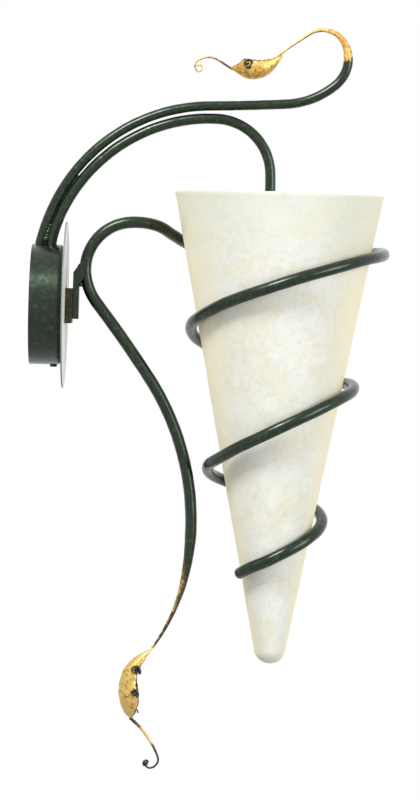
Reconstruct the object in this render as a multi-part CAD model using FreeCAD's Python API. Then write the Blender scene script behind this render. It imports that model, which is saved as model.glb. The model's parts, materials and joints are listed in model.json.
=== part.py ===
import FreeCAD, Part
import math
import os

# Torch sconce in blackened iron with gilded leaves and a frosted-glass cone.
# Millimetres. The origin is the middle of the cup's back on the wall, +X leaves the wall, +Z is up,
# and both arms, the scroll and the cone's axis lie in the upright plane y = 0.

V = FreeCAD.Vector

# ---- Driving dimensions ------------------------------------------------------------------------

running_gap = 0.3            # between pieces that move apart
fitting_gap = 0.2            # between pieces that are fastened together
thread_gap = 0.05            # between a screw and the thread it sits in

# Wall cup and what is clamped to its front
canopy_radius = 60.0
canopy_depth = 31.5
canopy_wall = 1.2
canopy_corner = 4.0
arm_opening_depth = 8.0       # the opening in the rim reaches this far in
cut_overshoot = 1.0           # how far a cutting solid stands past the face it opens
match_tolerance = 1e-6        # for telling an edge's place
spacer_radius = 22.0
spacer_bore = 6.0
spacer_thick = 1.5
disc_radius = 83.0
disc_thick = 1.5
disc_edge_round = 0.45
hook_thick = 6.9
hook_width = 40.0
hook_top = 16.8
hook_bottom = -18.2
hook_corner = 1.0
hook_screw_radius = 2.5
hook_screw_spacing = 29.0
hook_screw_head_radius = 4.4
hook_screw_head_depth = 2.2
hook_screw_end = 1.0          # past its nut
drive_depth = 1.0             # screwdriver slots
drive_half_width = 0.5
nut_thick = 4.0
nut_across = 8.0
load_plate_thick = 4.0
load_plate_width = 36.0
load_plate_bottom = -12.0

# Bracket on the wall
bracket_thick = 2.0
bracket_width = 96.0
bracket_height = 36.0
strap_width = 24.0
slot_spacing = 76.0
slot_width = 5.0
slot_length = 12.0
cable_radius = 4.0
bush_radius = 6.8
bush_flange_radius = 9.5
bush_flange_thick = 2.5
shelf_top = 30.0
shelf_reach = 12.0
lip_height = 5.0
ear_width = 16.0
canopy_screw_x = 24.0
canopy_screw_radius = 2.0
canopy_screw_head_radius = 3.6
canopy_screw_head_height = 2.2
canopy_screw_chamfer = 0.6
canopy_screw_length = 9.0
earth_screw_y = 27.0
earth_screw_z = 9.0
earth_screw_head_radius = 4.0
earth_screw_head_height = 2.8

# Mains connector
connector_depth = 16.0
connector_width = 28.0
connector_height = 16.0
connector_top = -26.0
pole_count = 3
pole_spacing = 9.0
sleeve_radius = 2.9
sleeve_bore = 1.5
sleeve_x = 11.0
clamp_screw_radius = 1.3
clamp_screw_head_radius = 2.2
clamp_screw_spacing = 7.0
connector_roof = 1.0
clamp_screw_recess = 0.5

# Block that both arms are welded to
block_width = 18.0
block_top = 50.0

# Upper arm: a solid bar, bent in steps of (radius, turn in degrees, left is positive)
bar_radius = 4.8
bar_root_x = 6.65
root_straight = 3.34
bar_bends = [(41.4, -13.0), (194.2, -15.5), (173.7, -59.7), (1893.2, 2.3), (83.5, 37.1), (33.9, 48.8)]
# Gilded end of the bar: (distance, diameter) where it thins
finial_bends = [(33.9, 26.7), (24.4, 96.1), (333.3, 7.0)]
finial_stem_bend = (15.0, 30.0)  # inside the leaf's cup, where its tip is welded
finial_stem_straight = 7.0
finial_taper = [(0.0, 9.6), (8.0, 8.4), (22.0, 6.2), (38.0, 4.3), (51.0, 3.3), (66.0, 2.9), (98.0, 2.2)]
finial_rings = 20

# Lamp arm: a tube beside the bar, bent the same way
tube_radius = 5.25
tube_bore = 4.4
tube_root_x = 18.5
tube_root_straight = 6.78
tube_bends = [(43.0, -12.5), (137.1, -12.2), (165.9, -48.9), (152.5, -19.0), (55.2, -84.3), (300.1, -3.1)]
tube_end_straight = 18.0
lead_radius = 3.0
lead_bend_radius = 20.0
lead_bend_turn = 30.0
lead_bend_share = 0.6         # how far up the free run the lead bends

# Lampholder, measured down from the end of the tube
nipple_radius = 5.0
nipple_bore = 3.3
nipple_spigot_radius = 4.3
nipple_spigot_length = 10.0
nipple_length = 15.0
locknut_thick = 4.0
locknut_across = 14.0
cap_neck_radius = 8.0
cap_neck_length = 10.0
cap_shoulder = 20.0
cap_length = 32.0
cap_radius = 21.0
cap_wall = 1.6
core_top = 20.0
core_thick = 10.0
skirt_wall = 2.0
skirt_top = 22.0
skirt_bottom = 60.0
shell_radius = 13.9
shell_wall = 0.5
shell_length = 24.0
tongue_thick = 0.8
tongue_length = 9.0
tongue_width = 4.0

# Lamp: a plain round bulb with a screw cap
bulb_radius = 30.0
bulb_length = 105.0
bulb_glass_wall = 1.0
bulb_neck_radius = 14.0
bulb_neck_drop = 29.0
bulb_cap_wall = 0.5
bulb_cap_length = 22.0
bulb_collar_length = 5.0
bulb_neck_blend = 1.0
bulb_mouth_depth = 2.0
bulb_contact_radius = 4.5
bulb_contact_height = 2.0
stem_radius = 3.5
stem_length = 24.0
stem_flare_height = 4.0
stem_edge = 1.0
stem_bead_radius = 5.0
stem_bead_height = 5.0

# Hanging joint: a T-shaped rail on the tab drops into a slot in the hook plate
rail_head_width = 18.0
rail_head_thick = 2.6
rail_neck_width = 10.0
slot_back_wall = 1.5
slot_floor = -12.0
rail_height = 24.0
tab_thick = 6.3
tab_width = 20.0
tab_bottom = -13.8
tab_weld_rise = 8.0
tab_weld_drop = 15.0
tab_weld_ledge = 2.0

# Scroll: loop, long S and the thinning end, from the top of the loop down
rod_radius = 5.9
weld_bite = 0.4
loop_top_heading = 184.8
scroll_bends = [(47.5, 95.5), (58.2, 28.3), (1217.0, -4.3), (262.7, -35.7)]
scroll_taper_bends = [(262.7, -9.8), (184.7, -23.3)]
scroll_taper = [(0.0, 11.8), (8.0, 11.3), (29.0, 9.2), (50.0, 7.2), (71.0, 4.9), (93.0, 3.5), (120.1, 2.6)]
scroll_taper_rings = 16
weld_seam = 0.1

# Glass cone
rim_height = 117.0
rim_radius = 104.4
cone_half_angle = 10.97
cone_tilt = 0.37               # the cone leans in its spiral, its tip away from the wall
tip_radius = 16.0
glass_wall = 4.0
lip_round = 1.5

# Spiral of rod round the cone, from its open top at the right: one line for each eighth of a turn,
# as (depth below the cone's rim, air between rod and glass). It runs down round the front.
axis_from_loop = 148.05
loop_top_height = 84.1
spiral_steps_per_turn = 8
spiral_steps = [
    (58.1, 6.2), (68.0, 5.0), (91.0, 2.8), (116.2, 0.8), (138.0, 1.6), (159.0, 2.1), (174.5, 2.8),
    (186.0, 4.2), (192.4, 5.0), (208.0, 4.2), (234.0, 5.2), (259.3, 6.5), (276.8, 8.9), (292.0, 7.8),
    (303.5, 5.5), (313.8, 4.7),
    (328.6, 2.4), (345.2, 0.9), (362.6, 0.4), (376.2, 1.2),
]
# Its lower end, a little further round
spiral_end_angle = 870.0
spiral_end_step = (380.0, 1.2)
# Its top end, from the right round the back, where it leaves the cone for the loop
back_steps = [(57.6, 5.2), (59.2, 4.6), (58.0, 3.9)]
leave_angle = 150.0
leave_depth = 52.8
leave_gap = 3.6
leave_slope = 0.26

# Leaves: (keel x, keel z, edge x, edge z, half width) from the thin end of the bar or rod that carries them
leaf_thick = 1.6
leaf_thick_depth_share = 0.4  # thinner where the leaf is shallow
leaf_thick_width_share = 0.6  # or narrow
tendril_rings = 26
upper_leaf_steps = [
    (5.9, 0.6, 5.2, 2.4, 1.3), (-1.5, -11.8, -3.2, -1.6, 6.5), (-10.5, -19.8, -11.6, -3.6, 10.0),
    (-21.5, -23.1, -21.4, -4.4, 11.5), (-31.0, -22.0, -31.4, -3.0, 10.0), (-38.6, -17.6, -38.4, -8.0, 6.0),
    (-45.8, -12.8, -45.6, -11.0, 1.3),
]
upper_tendril_start = (-46.4, -11.9)
tail_leaf_steps = [
    (-2.4, -2.4, 0.6, -0.8, 1.3), (-19.8, -12.6, -8.0, -13.0, 6.0), (-30.3, -25.4, -14.8, -26.4, 9.0),
    (-34.1, -40.3, -16.0, -38.6, 10.0), (-33.8, -52.4, -13.4, -52.4, 10.0),
    (-28.6, -66.6, -15.6, -65.4, 6.0),
    (-21.6, -73.6, -19.4, -72.8, 1.3),
]
tail_tendril_start = (-20.3, -74.3)

# Tendrils: heading at the leaf, bends, and the diameters at both ends
upper_tendril_heading = 147.3
upper_tendril_bends = [(300.0, 2.8), (17.4, 71.1), (7.1, 100.1), (2.6, 150.0)]
upper_tendril_thick = (2.4, 1.8)
tail_tendril_heading = -38.6
tail_tendril_bends = [(89.2, -29.6), (8.6, -109.8), (4.4, -76.3), (1.9, -119.5)]
tail_tendril_thick = (3.2, 1.8)

# ---- Sizes that follow from those --------------------------------------------------------------

spacer_front = canopy_depth + spacer_thick
disc_front = spacer_front + disc_thick
hook_front = disc_front + hook_thick
tab_back = hook_front + running_gap
tab_front = tab_back + tab_thick
load_plate_front = canopy_depth - canopy_wall
load_plate_back = load_plate_front - load_plate_thick
canopy_inside = canopy_radius - canopy_wall
ear_outside = -math.sqrt(canopy_inside ** 2 - (ear_width / 2) ** 2) + running_gap
strap_bottom = -math.sqrt(canopy_inside ** 2 - (strap_width / 2) ** 2) + running_gap
block_back = bracket_thick + running_gap
loop_radius = scroll_bends[0][0]
loop_top_x = (tab_front + rod_radius - weld_bite + loop_radius
              + loop_radius * math.sin(math.radians(loop_top_heading)))
cone_x = loop_top_x + axis_from_loop
cone_slope = math.tan(math.radians(cone_half_angle))
cone_lean = math.cos(math.radians(cone_half_angle))
axis_drift = math.tan(math.radians(cone_tilt))
ring_direction = V(0, 1, 0)


# ---- Routes of bars, rods and tubes ------------------------------------------------------------

class Route:
    """A centreline in the plane y = 0, made of straight runs and arcs that meet smoothly."""

    def __init__(self, x, z, heading):
        self.x = x
        self.z = z
        self.heading = math.radians(heading)
        self.length = 0.0
        self.runs = []

    def run(self, length, curvature):
        self.runs.append((self.length, self.x, self.z, self.heading, length, curvature))
        self.x, self.z, self.heading = run_end(self.x, self.z, self.heading, length, curvature)
        self.length += length
        return self

    def straight(self, length):
        return self.run(length, 0.0)

    def bend(self, radius, turn):
        return self.run(radius * math.radians(abs(turn)), math.copysign(1.0 / radius, turn))

    def bends(self, schedule):
        for radius, turn in schedule:
            self.bend(radius, turn)
        return self

    def at(self, distance):
        """The point and heading at a distance along the route."""
        begin, x, z, heading, length, curvature = [r for r in self.runs if r[0] <= distance + 1e-9][-1]
        x, z, heading = run_end(x, z, heading, distance - begin, curvature)
        return V(x, 0, z), heading

    def wire(self):
        edges = []
        for begin, x, z, heading, length, curvature in self.runs:
            points = [self.at_run(x, z, heading, length * share, curvature) for share in (0.0, 0.5, 1.0)]
            if curvature == 0.0:
                edges.append(Part.LineSegment(points[0], points[2]).toShape())
            else:
                edges.append(Part.Arc(*points).toShape())
        return Part.Wire(edges)

    def at_run(self, x, z, heading, distance, curvature):
        x, z, heading = run_end(x, z, heading, distance, curvature)
        return V(x, 0, z)

    def end(self):
        return V(self.x, 0, self.z)


def run_end(x, z, heading, length, curvature):
    """Where a run ends and its heading there; curvature is 0 for a straight run."""
    if curvature == 0.0:
        return x + length * math.cos(heading), z + length * math.sin(heading), heading
    after = heading + curvature * length
    x += (math.sin(after) - math.sin(heading)) / curvature
    z -= (math.cos(after) - math.cos(heading)) / curvature
    return x, z, after


def direction_of(heading):
    return V(math.cos(heading), 0, math.sin(heading))


def ring(point, heading, radius):
    """A circle square to a heading in the plane y = 0, as four quarter arcs."""
    side = V(-math.sin(heading), 0, math.cos(heading))

    def rim(angle):
        return point + ring_direction * (radius * math.cos(angle)) + side * (radius * math.sin(angle))

    quarter = math.pi / 2
    arcs = [Part.Arc(rim(k * quarter), rim((k + 0.5) * quarter), rim((k + 1) * quarter)) for k in range(4)]
    return Part.Wire([arc.toShape() for arc in arcs])


def round_bar(route, radius):
    """A bar of one thickness along a route."""
    start, heading = route.at(0.0)
    profile = Part.Wire(Part.makeCircle(radius, start, direction_of(heading)))
    return route.wire().makePipeShell([profile], True, False)


def between(table, distance):
    """Smooth value between the lines of a table of (distance, value)."""
    for (low, first), (high, second) in zip(table, table[1:]):
        if distance <= high:
            share = (distance - low) / (high - low)
            return first + (second - first) * share
    return table[-1][1]


def thinning_bar(route, table, sections):
    """A bar whose diameter follows a table of (distance, diameter)."""
    rings = []
    for k in range(sections + 1):
        distance = route.length * k / sections
        point, heading = route.at(distance)
        rings.append(ring(point, heading, between(table, distance) / 2))
    return Part.makeLoft(rings, True, False)


def biarc(start, start_direction, end, end_direction):
    """Two arcs that join two points smoothly with the given directions."""
    chord = end - start
    both = start_direction + end_direction
    turn = 2 * (1 - start_direction.dot(end_direction))
    reach = (math.sqrt(chord.dot(both) ** 2 + turn * chord.dot(chord)) - chord.dot(both)) / turn
    middle = (start + start_direction * reach + end - end_direction * reach) * 0.5
    return [arc_from(start, start_direction, middle), arc_from(end, end_direction * -1, middle, True)]


def arc_from(start, direction, end, backwards=False):
    """The arc that leaves start along a direction and ends at end."""
    chord = end - start
    along = chord / chord.Length
    half_turn = direction.getAngle(chord)
    outward = direction - along * direction.dot(along)
    outward.normalize()
    crown = start + chord * 0.5 + outward * (chord.Length / 2 * math.tan(half_turn / 2))
    points = [end, crown, start] if backwards else [start, crown, end]
    return Part.Arc(*points).toShape()


# ---- Plain solids ------------------------------------------------------------------------------

def box(x_low, x_high, y_low, y_high, z_low, z_high):
    return Part.makeBox(x_high - x_low, y_high - y_low, z_high - z_low, V(x_low, y_low, z_low))


def rod_x(radius, x_low, x_high, y=0.0, z=0.0):
    """A round solid along X."""
    return Part.makeCylinder(radius, x_high - x_low, V(x_low, y, z), V(1, 0, 0))


def rod_z(radius, z_low, z_high, x=0.0, y=0.0):
    """A round solid along Z."""
    return Part.makeCylinder(radius, z_high - z_low, V(x, y, z_low), V(0, 0, 1))


def turned(outline, x=0.0):
    """A solid turned about an upright axis at x, from an outline of (radius, height)."""
    points = [V(x + radius, 0, height) for radius, height in outline]
    face = Part.Face(Part.makePolygon(points + points[:1]))
    return face.revolve(V(x, 0, 0), V(0, 0, 1), 360)


def hexagon(across, low, high, centre, axis):
    """A hexagon prism from low to high along X or Z, centred on a point."""
    corner = across / 2 / math.cos(math.pi / 6)
    points = []
    for k in range(6):
        u = corner * math.cos(k * math.pi / 3)
        v = corner * math.sin(k * math.pi / 3)
        if axis == "x":
            points.append(V(low, centre.y + u, centre.z + v))
        else:
            points.append(V(centre.x + u, centre.y + v, low))
    face = Part.Face(Part.makePolygon(points + points[:1]))
    return face.extrude(V(high - low, 0, 0) if axis == "x" else V(0, 0, high - low))


def extruded(points, y_low, y_high):
    """A plate with an outline of (x, z), from y_low to y_high."""
    corners = [V(x, y_low, z) for x, z in points]
    face = Part.Face(Part.makePolygon(corners + corners[:1]))
    return face.extrude(V(0, y_high - y_low, 0))


def holes_for_hook_screws(x_low, x_high, radius):
    side = hook_screw_spacing / 2
    return Part.makeCompound([rod_x(radius, x_low, x_high, y) for y in (-side, side)])


# ---- Wall bracket and what it carries ----------------------------------------------------------

def wall_bracket():
    plate = box(0, bracket_thick, -bracket_width / 2, bracket_width / 2,
                -bracket_height / 2, bracket_height / 2)
    strap = box(0, bracket_thick, -strap_width / 2, strap_width / 2, strap_bottom, shelf_top + lip_height)
    shelf = box(0, shelf_reach, -strap_width / 2, strap_width / 2, shelf_top - bracket_thick, shelf_top)
    lip = box(shelf_reach - bracket_thick, shelf_reach, -strap_width / 2, strap_width / 2,
              shelf_top - bracket_thick, shelf_top + lip_height)
    ear = box(0, canopy_screw_x + canopy_screw_head_radius, -ear_width / 2, ear_width / 2,
              ear_outside, ear_outside + bracket_thick)
    solid = plate.fuse([strap, shelf, lip, ear])
    for y in (-slot_spacing / 2, slot_spacing / 2):
        solid = solid.cut(wall_slot(y))
    solid = solid.cut(rod_x(bush_radius + fitting_gap, 0, bracket_thick))
    tapped = canopy_screw_radius + thread_gap
    solid = solid.cut(rod_z(tapped, ear_outside, ear_outside + bracket_thick, canopy_screw_x))
    solid = solid.cut(rod_x(tapped, 0, bracket_thick, earth_screw_y, earth_screw_z))
    return solid.removeSplitter()


def wall_slot(y):
    radius = slot_width / 2
    half = slot_length / 2 - radius
    middle = box(0, bracket_thick, y - half, y + half, -radius, radius)
    ends = [rod_x(radius, 0, bracket_thick, place) for place in (y - half, y + half)]
    return middle.fuse(ends)


def cable_bush():
    neck = rod_x(bush_radius, 0, bracket_thick)
    flange = rod_x(bush_flange_radius, bracket_thick, bracket_thick + bush_flange_thick)
    return neck.fuse(flange).cut(rod_x(cable_radius, 0, bracket_thick + bush_flange_thick))


def earth_screw():
    head = rod_x(earth_screw_head_radius, bracket_thick, bracket_thick + earth_screw_head_height,
                 earth_screw_y, earth_screw_z)
    shank = rod_x(canopy_screw_radius, 0, bracket_thick, earth_screw_y, earth_screw_z)
    return head.fuse(shank)


def pole_places():
    first = -pole_spacing * (pole_count - 1) / 2
    return [first + pole_spacing * k for k in range(pole_count)]


def clamp_screw_heights():
    middle = connector_top - connector_height / 2
    return [middle - clamp_screw_spacing / 2, middle + clamp_screw_spacing / 2]


def connector_front():
    return bracket_thick + connector_depth


def terminal_block():
    solid = box(bracket_thick, connector_front(), -connector_width / 2, connector_width / 2,
                connector_top - connector_height, connector_top)
    for y in pole_places():
        solid = solid.cut(rod_z(sleeve_radius + fitting_gap, connector_top - connector_height,
                                connector_top - connector_roof, sleeve_x, y))
        for z in clamp_screw_heights():
            hole_radius = clamp_screw_head_radius + fitting_gap
            solid = solid.cut(rod_x(hole_radius, sleeve_x, connector_front(), y, z))
    return solid


def terminal_sleeves():
    sleeves = []
    low = connector_top - connector_height + fitting_gap
    high = connector_top - connector_roof - fitting_gap
    for y in pole_places():
        sleeve = rod_z(sleeve_radius, low, high, sleeve_x, y)
        sleeve = sleeve.cut(rod_z(sleeve_bore, low, high, sleeve_x, y))
        for z in clamp_screw_heights():
            hole = rod_x(clamp_screw_radius + thread_gap, sleeve_x, sleeve_x + sleeve_radius, y, z)
            sleeve = sleeve.cut(hole)
        sleeves.append(sleeve)
    return Part.makeCompound(sleeves)


def terminal_screws():
    screws = []
    seat = sleeve_x + sleeve_radius + fitting_gap
    for y in pole_places():
        for z in clamp_screw_heights():
            head = rod_x(clamp_screw_head_radius, seat, connector_front() - clamp_screw_recess, y, z)
            shank = rod_x(clamp_screw_radius, sleeve_x + sleeve_bore, seat, y, z)
            screws.append(head.fuse(shank))
    return Part.makeCompound(screws)


# ---- Cup, disc and hook plate ------------------------------------------------------------------

def arm_opening():
    """Oblong hole in the cup's rim that both arms pass through."""
    first = bar_radius + 2 * fitting_gap
    second = tube_radius + 2 * fitting_gap
    low = canopy_radius - arm_opening_depth
    high = canopy_radius + cut_overshoot
    x_first = canopy_pass_x(bar_route())
    x_second = canopy_pass_x(tube_route())
    return rod_z(first, low, high, x_first).fuse([
        rod_z(second, low, high, x_second),
        box(x_first, x_second, -bar_radius, bar_radius, low, high),
    ])


def canopy_pass_x(route):
    """Where a route passes the cup's rim."""
    step = route.runs[0][4] + route.runs[1][4] / 2
    return route.at(step)[0].x


def cup_solid(radius, back, front, corner):
    """A round solid along X whose front edge is rounded."""
    mid = corner * math.sqrt(0.5)
    points = [V(back, 0, 0), V(back, 0, radius), V(front - corner, 0, radius), V(front, 0, radius - corner),
              V(front, 0, 0)]
    edges = [
        Part.makeLine(points[0], points[1]),
        Part.makeLine(points[1], points[2]),
        Part.Arc(points[2], V(front - corner + mid, 0, radius - corner + mid), points[3]).toShape(),
        Part.makeLine(points[3], points[4]),
        Part.makeLine(points[4], points[0]),
    ]
    return Part.Face(Part.Wire(edges)).revolve(V(0, 0, 0), V(1, 0, 0), 360)


def canopy():
    outside = cup_solid(canopy_radius, 0, canopy_depth, canopy_corner)
    inside = cup_solid(canopy_inside, 0, load_plate_front, canopy_corner - canopy_wall)
    solid = outside.cut(inside)
    solid = solid.cut(arm_opening())
    solid = solid.cut(rod_z(canopy_screw_radius + fitting_gap, -canopy_radius - cut_overshoot,
                            ear_outside, canopy_screw_x))
    return solid.cut(holes_for_hook_screws(0, canopy_depth, hook_screw_radius + fitting_gap))


def canopy_screw():
    face_height = -canopy_radius - canopy_screw_head_height
    head = rod_z(canopy_screw_head_radius, face_height, -canopy_radius, canopy_screw_x)
    face_edges = [edge for edge in head.Edges if edge.BoundBox.ZMax < -canopy_radius - canopy_screw_chamfer]
    head = head.makeChamfer(canopy_screw_chamfer, face_edges)
    shank = rod_z(canopy_screw_radius, -canopy_radius, -canopy_radius + canopy_screw_length, canopy_screw_x)
    drive = box(canopy_screw_x - canopy_screw_head_radius, canopy_screw_x + canopy_screw_head_radius,
                -drive_half_width, drive_half_width, face_height, face_height + drive_depth)
    return head.fuse(shank).cut(drive)


def arm_block():
    solid = box(block_back, load_plate_back, -block_width / 2, block_width / 2, shelf_top, block_top)
    groove = box(shelf_reach - bracket_thick - running_gap, shelf_reach + running_gap, -block_width / 2,
                 block_width / 2, shelf_top, shelf_top + lip_height + running_gap)
    return solid.cut(groove).cut(rod_z(tube_bore, shelf_top, block_top, tube_root_x))


def load_plate():
    solid = box(load_plate_back, load_plate_front, -load_plate_width / 2, load_plate_width / 2,
                load_plate_bottom, block_top)
    hole_radius = hook_screw_radius + fitting_gap
    return solid.cut(holes_for_hook_screws(load_plate_back, load_plate_front, hole_radius))


def spacer():
    solid = rod_x(spacer_radius, canopy_depth, spacer_front)
    solid = solid.cut(rod_x(spacer_bore, canopy_depth, spacer_front))
    return solid.cut(holes_for_hook_screws(canopy_depth, spacer_front, hook_screw_radius + fitting_gap))


def reflector_disc():
    solid = rod_x(disc_radius, spacer_front, disc_front)
    solid = solid.makeFillet(disc_edge_round, solid.Edges)
    return solid.cut(holes_for_hook_screws(spacer_front, disc_front, hook_screw_radius + fitting_gap))


def hook_slot_back():
    return disc_front + slot_back_wall


def hook_slot_neck():
    """Where the wide part of the slot ends and its neck begins."""
    return hook_slot_back() + rail_head_thick + 2 * running_gap


def hook_plate():
    solid = box(disc_front, hook_front, -hook_width / 2, hook_width / 2, hook_bottom, hook_top)
    upright = [e for e in solid.Edges if e.BoundBox.XMin > hook_front - match_tolerance]
    solid = solid.makeFillet(hook_corner, upright)
    head = rail_head_width / 2 + running_gap
    neck = rail_neck_width / 2 + running_gap
    wide = box(hook_slot_back(), hook_slot_neck(), -head, head, slot_floor, hook_top)
    narrow = box(hook_slot_neck(), hook_front, -neck, neck, slot_floor, hook_top)
    solid = solid.cut(wide.fuse(narrow))
    solid = solid.cut(holes_for_hook_screws(disc_front, hook_front, hook_screw_radius + fitting_gap))
    return solid.cut(hook_screw_heads(fitting_gap))


def hook_screw_heads(clearance):
    side = hook_screw_spacing / 2
    seat = hook_front - hook_screw_head_depth
    heads = []
    for y in (-side, side):
        heads.append(Part.makeCone(hook_screw_radius + clearance, hook_screw_head_radius + clearance,
                                   hook_screw_head_depth, V(seat, y, 0), V(1, 0, 0)))
    return Part.makeCompound(heads)


def hook_screws():
    side = hook_screw_spacing / 2
    seat = hook_front - hook_screw_head_depth
    screws = []
    for y, head in zip((-side, side), hook_screw_heads(0.0).Solids):
        shank = rod_x(hook_screw_radius, load_plate_back - nut_thick - hook_screw_end, seat, y)
        drive = box(hook_front - drive_depth, hook_front, y - drive_half_width, y + drive_half_width,
                    -hook_screw_head_radius, hook_screw_head_radius)
        screws.append(head.fuse(shank).cut(drive))
    return Part.makeCompound(screws)


def hook_nuts():
    side = hook_screw_spacing / 2
    nuts = []
    for y in (-side, side):
        nut = hexagon(nut_across, load_plate_back - nut_thick, load_plate_back, V(0, y, 0), "x")
        hole = rod_x(hook_screw_radius + thread_gap, load_plate_back - nut_thick, load_plate_back, y)
        nuts.append(nut.cut(hole))
    return Part.makeCompound(nuts)


# ---- Upper arm, its gilded end and the lamp arm ------------------------------------------------

def bar_route():
    return Route(bar_root_x, block_top, 90.0).straight(root_straight).bends(bar_bends)


def finial_route():
    arm = bar_route()
    return Route(arm.x, arm.z, math.degrees(arm.heading)).bends(finial_bends)


def upper_leaf_origin():
    """Where the thin end of the bar goes over the leaf's edge."""
    return finial_route().end()


def tube_route():
    return Route(tube_root_x, block_top, 90.0).straight(tube_root_straight).bends(tube_bends).straight(
        tube_end_straight)


def upper_arm():
    return round_bar(bar_route(), bar_radius)


def upper_finial():
    route = finial_route().bend(*finial_stem_bend).straight(finial_stem_straight)
    return thinning_bar(route, finial_taper, finial_rings)


def lamp_arm():
    route = tube_route()
    return round_bar(route, tube_radius).cut(round_bar(route, tube_bore))


def lamp_flex():
    """Lead from the mains connector through the tube to the lampholder's core."""
    shift = tube_root_x - sleeve_x
    turn = math.radians(lead_bend_turn)
    slant = (shift - 2 * lead_bend_radius * (1 - math.cos(turn))) / math.sin(turn)
    bend_height = 2 * lead_bend_radius * math.sin(turn) + slant * math.cos(turn)
    lead_in = (shelf_top - bracket_thick - connector_top - bend_height) * lead_bend_share
    route = Route(sleeve_x, connector_top, 90.0).straight(lead_in)
    route.bend(lead_bend_radius, -lead_bend_turn).straight(slant).bend(lead_bend_radius, lead_bend_turn)
    route.straight(block_top - route.z + tube_root_straight)
    route.bends(tube_bends).straight(tube_end_straight + core_top)
    return round_bar(route, lead_radius)


# ---- Lampholder and lamp -----------------------------------------------------------------------

def holder_place():
    """The lampholder's axis and the height of the tube's end."""
    end = tube_route().end()
    return end.x, end.z


def holder_nipple():
    x, top = holder_place()
    spigot = rod_z(nipple_spigot_radius, top, top + nipple_spigot_length, x)
    thread = rod_z(nipple_radius, top - nipple_length, top, x)
    return spigot.fuse(thread).cut(rod_z(nipple_bore, top - nipple_length, top + nipple_spigot_length, x))


def holder_locknut():
    x, top = holder_place()
    high = top - cap_neck_length
    nut = hexagon(locknut_across, high - locknut_thick, high, V(x, 0, 0), "z")
    return nut.cut(rod_z(nipple_radius + thread_gap, high - locknut_thick, high, x))


def holder_cap():
    x, top = holder_place()
    hole = nipple_radius + fitting_gap
    inner = cap_radius - cap_wall
    return turned([
        (hole, top), (cap_neck_radius, top), (cap_neck_radius, top - cap_neck_length + cap_wall),
        (cap_radius, top - cap_shoulder), (cap_radius, top - cap_length), (inner, top - cap_length),
        (inner, top - cap_shoulder - cap_wall / 2), (cap_neck_radius + cap_wall, top - cap_neck_length),
        (hole, top - cap_neck_length),
    ], x)


def skirt_radius():
    return cap_radius - cap_wall - fitting_gap


def holder_skirt():
    x, top = holder_place()
    outer = skirt_radius()
    sleeve = rod_z(outer, top - skirt_bottom, top - skirt_top, x)
    return sleeve.cut(rod_z(outer - skirt_wall, top - skirt_bottom, top - skirt_top, x))


def core_bottom():
    return holder_place()[1] - core_top - core_thick


def holder_core():
    x, top = holder_place()
    return rod_z(skirt_radius() - skirt_wall - fitting_gap, core_bottom(), top - core_top, x)


def holder_shell():
    x, top = holder_place()
    low = core_bottom() - shell_length
    sleeve = rod_z(shell_radius, low, core_bottom(), x)
    return sleeve.cut(rod_z(shell_radius - shell_wall, low, core_bottom(), x))


def centre_contact():
    x, top = holder_place()
    return box(x - tongue_length / 2, x + tongue_length / 2, -tongue_width / 2, tongue_width / 2,
               core_bottom() - tongue_thick, core_bottom())


def contact_top():
    return core_bottom() - tongue_thick - running_gap


def bulb_cap_top():
    return contact_top() - bulb_contact_height - running_gap


def bulb_cap_radius():
    return shell_radius - shell_wall - running_gap


def bulb_contact():
    x, top = holder_place()
    return rod_z(bulb_contact_radius, contact_top() - bulb_contact_height, contact_top(), x)


def bulb_cap():
    x, top = holder_place()
    high = bulb_cap_top()
    outer = bulb_cap_radius()
    inner = outer - bulb_cap_wall
    shoulder = high - bulb_contact_height
    low = high - bulb_cap_length
    return turned([
        (0, high), (bulb_contact_radius, high), (outer, shoulder), (outer, low), (inner, low),
        (inner, shoulder - bulb_cap_wall), (bulb_contact_radius, high - bulb_cap_wall),
        (0, high - bulb_cap_wall),
    ], x)


def bulb_outline(inset):
    """Half outline of the bulb's glass, drawn in by inset: neck, slope and round end."""
    x, top = holder_place()
    radius = bulb_radius - inset
    centre_z = contact_top() - bulb_length + bulb_radius
    neck = bulb_neck_radius - inset
    neck_z = contact_top() - bulb_neck_drop
    reach = math.hypot(neck, neck_z - centre_z)
    lean = math.atan2(neck_z - centre_z, neck) - math.acos(radius / reach)
    touch = V(x + radius * math.cos(lean), 0, centre_z + radius * math.sin(lean))
    side_angle = (lean - math.pi / 2) / 2
    side = V(x + radius * math.cos(side_angle), 0, centre_z + radius * math.sin(side_angle))
    collar = bulb_cap_radius() - bulb_cap_wall - fitting_gap - inset
    high = neck_z + bulb_collar_length + bulb_neck_radius - collar
    return [V(x + collar, 0, high), V(x + collar, 0, neck_z + bulb_neck_blend),
            V(x + neck, 0, neck_z - bulb_neck_blend), touch, side, V(x, 0, centre_z - radius)], high


def bulb_solid(inset):
    x, top = holder_place()
    (shoulder, lower, neck, touch, side, end), high = bulb_outline(inset)
    edges = [
        Part.makeLine(V(x, 0, high), shoulder),
        Part.makeLine(shoulder, lower),
        Part.makeLine(lower, neck),
        Part.makeLine(neck, touch),
        Part.Arc(touch, side, end).toShape(),
        Part.makeLine(end, V(x, 0, high)),
    ]
    return Part.Face(Part.Wire(edges)).revolve(V(x, 0, 0), V(0, 0, 1), 360)


def bulb_glass():
    x, top = holder_place()
    high = bulb_outline(0.0)[1]
    inner = bulb_solid(bulb_glass_wall)
    mouth = rod_z(bulb_cap_radius() - bulb_cap_wall - fitting_gap - bulb_glass_wall,
                  high - bulb_mouth_depth, high + bulb_mouth_depth, x)
    return bulb_solid(0.0).cut(inner.fuse(mouth))


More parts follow.
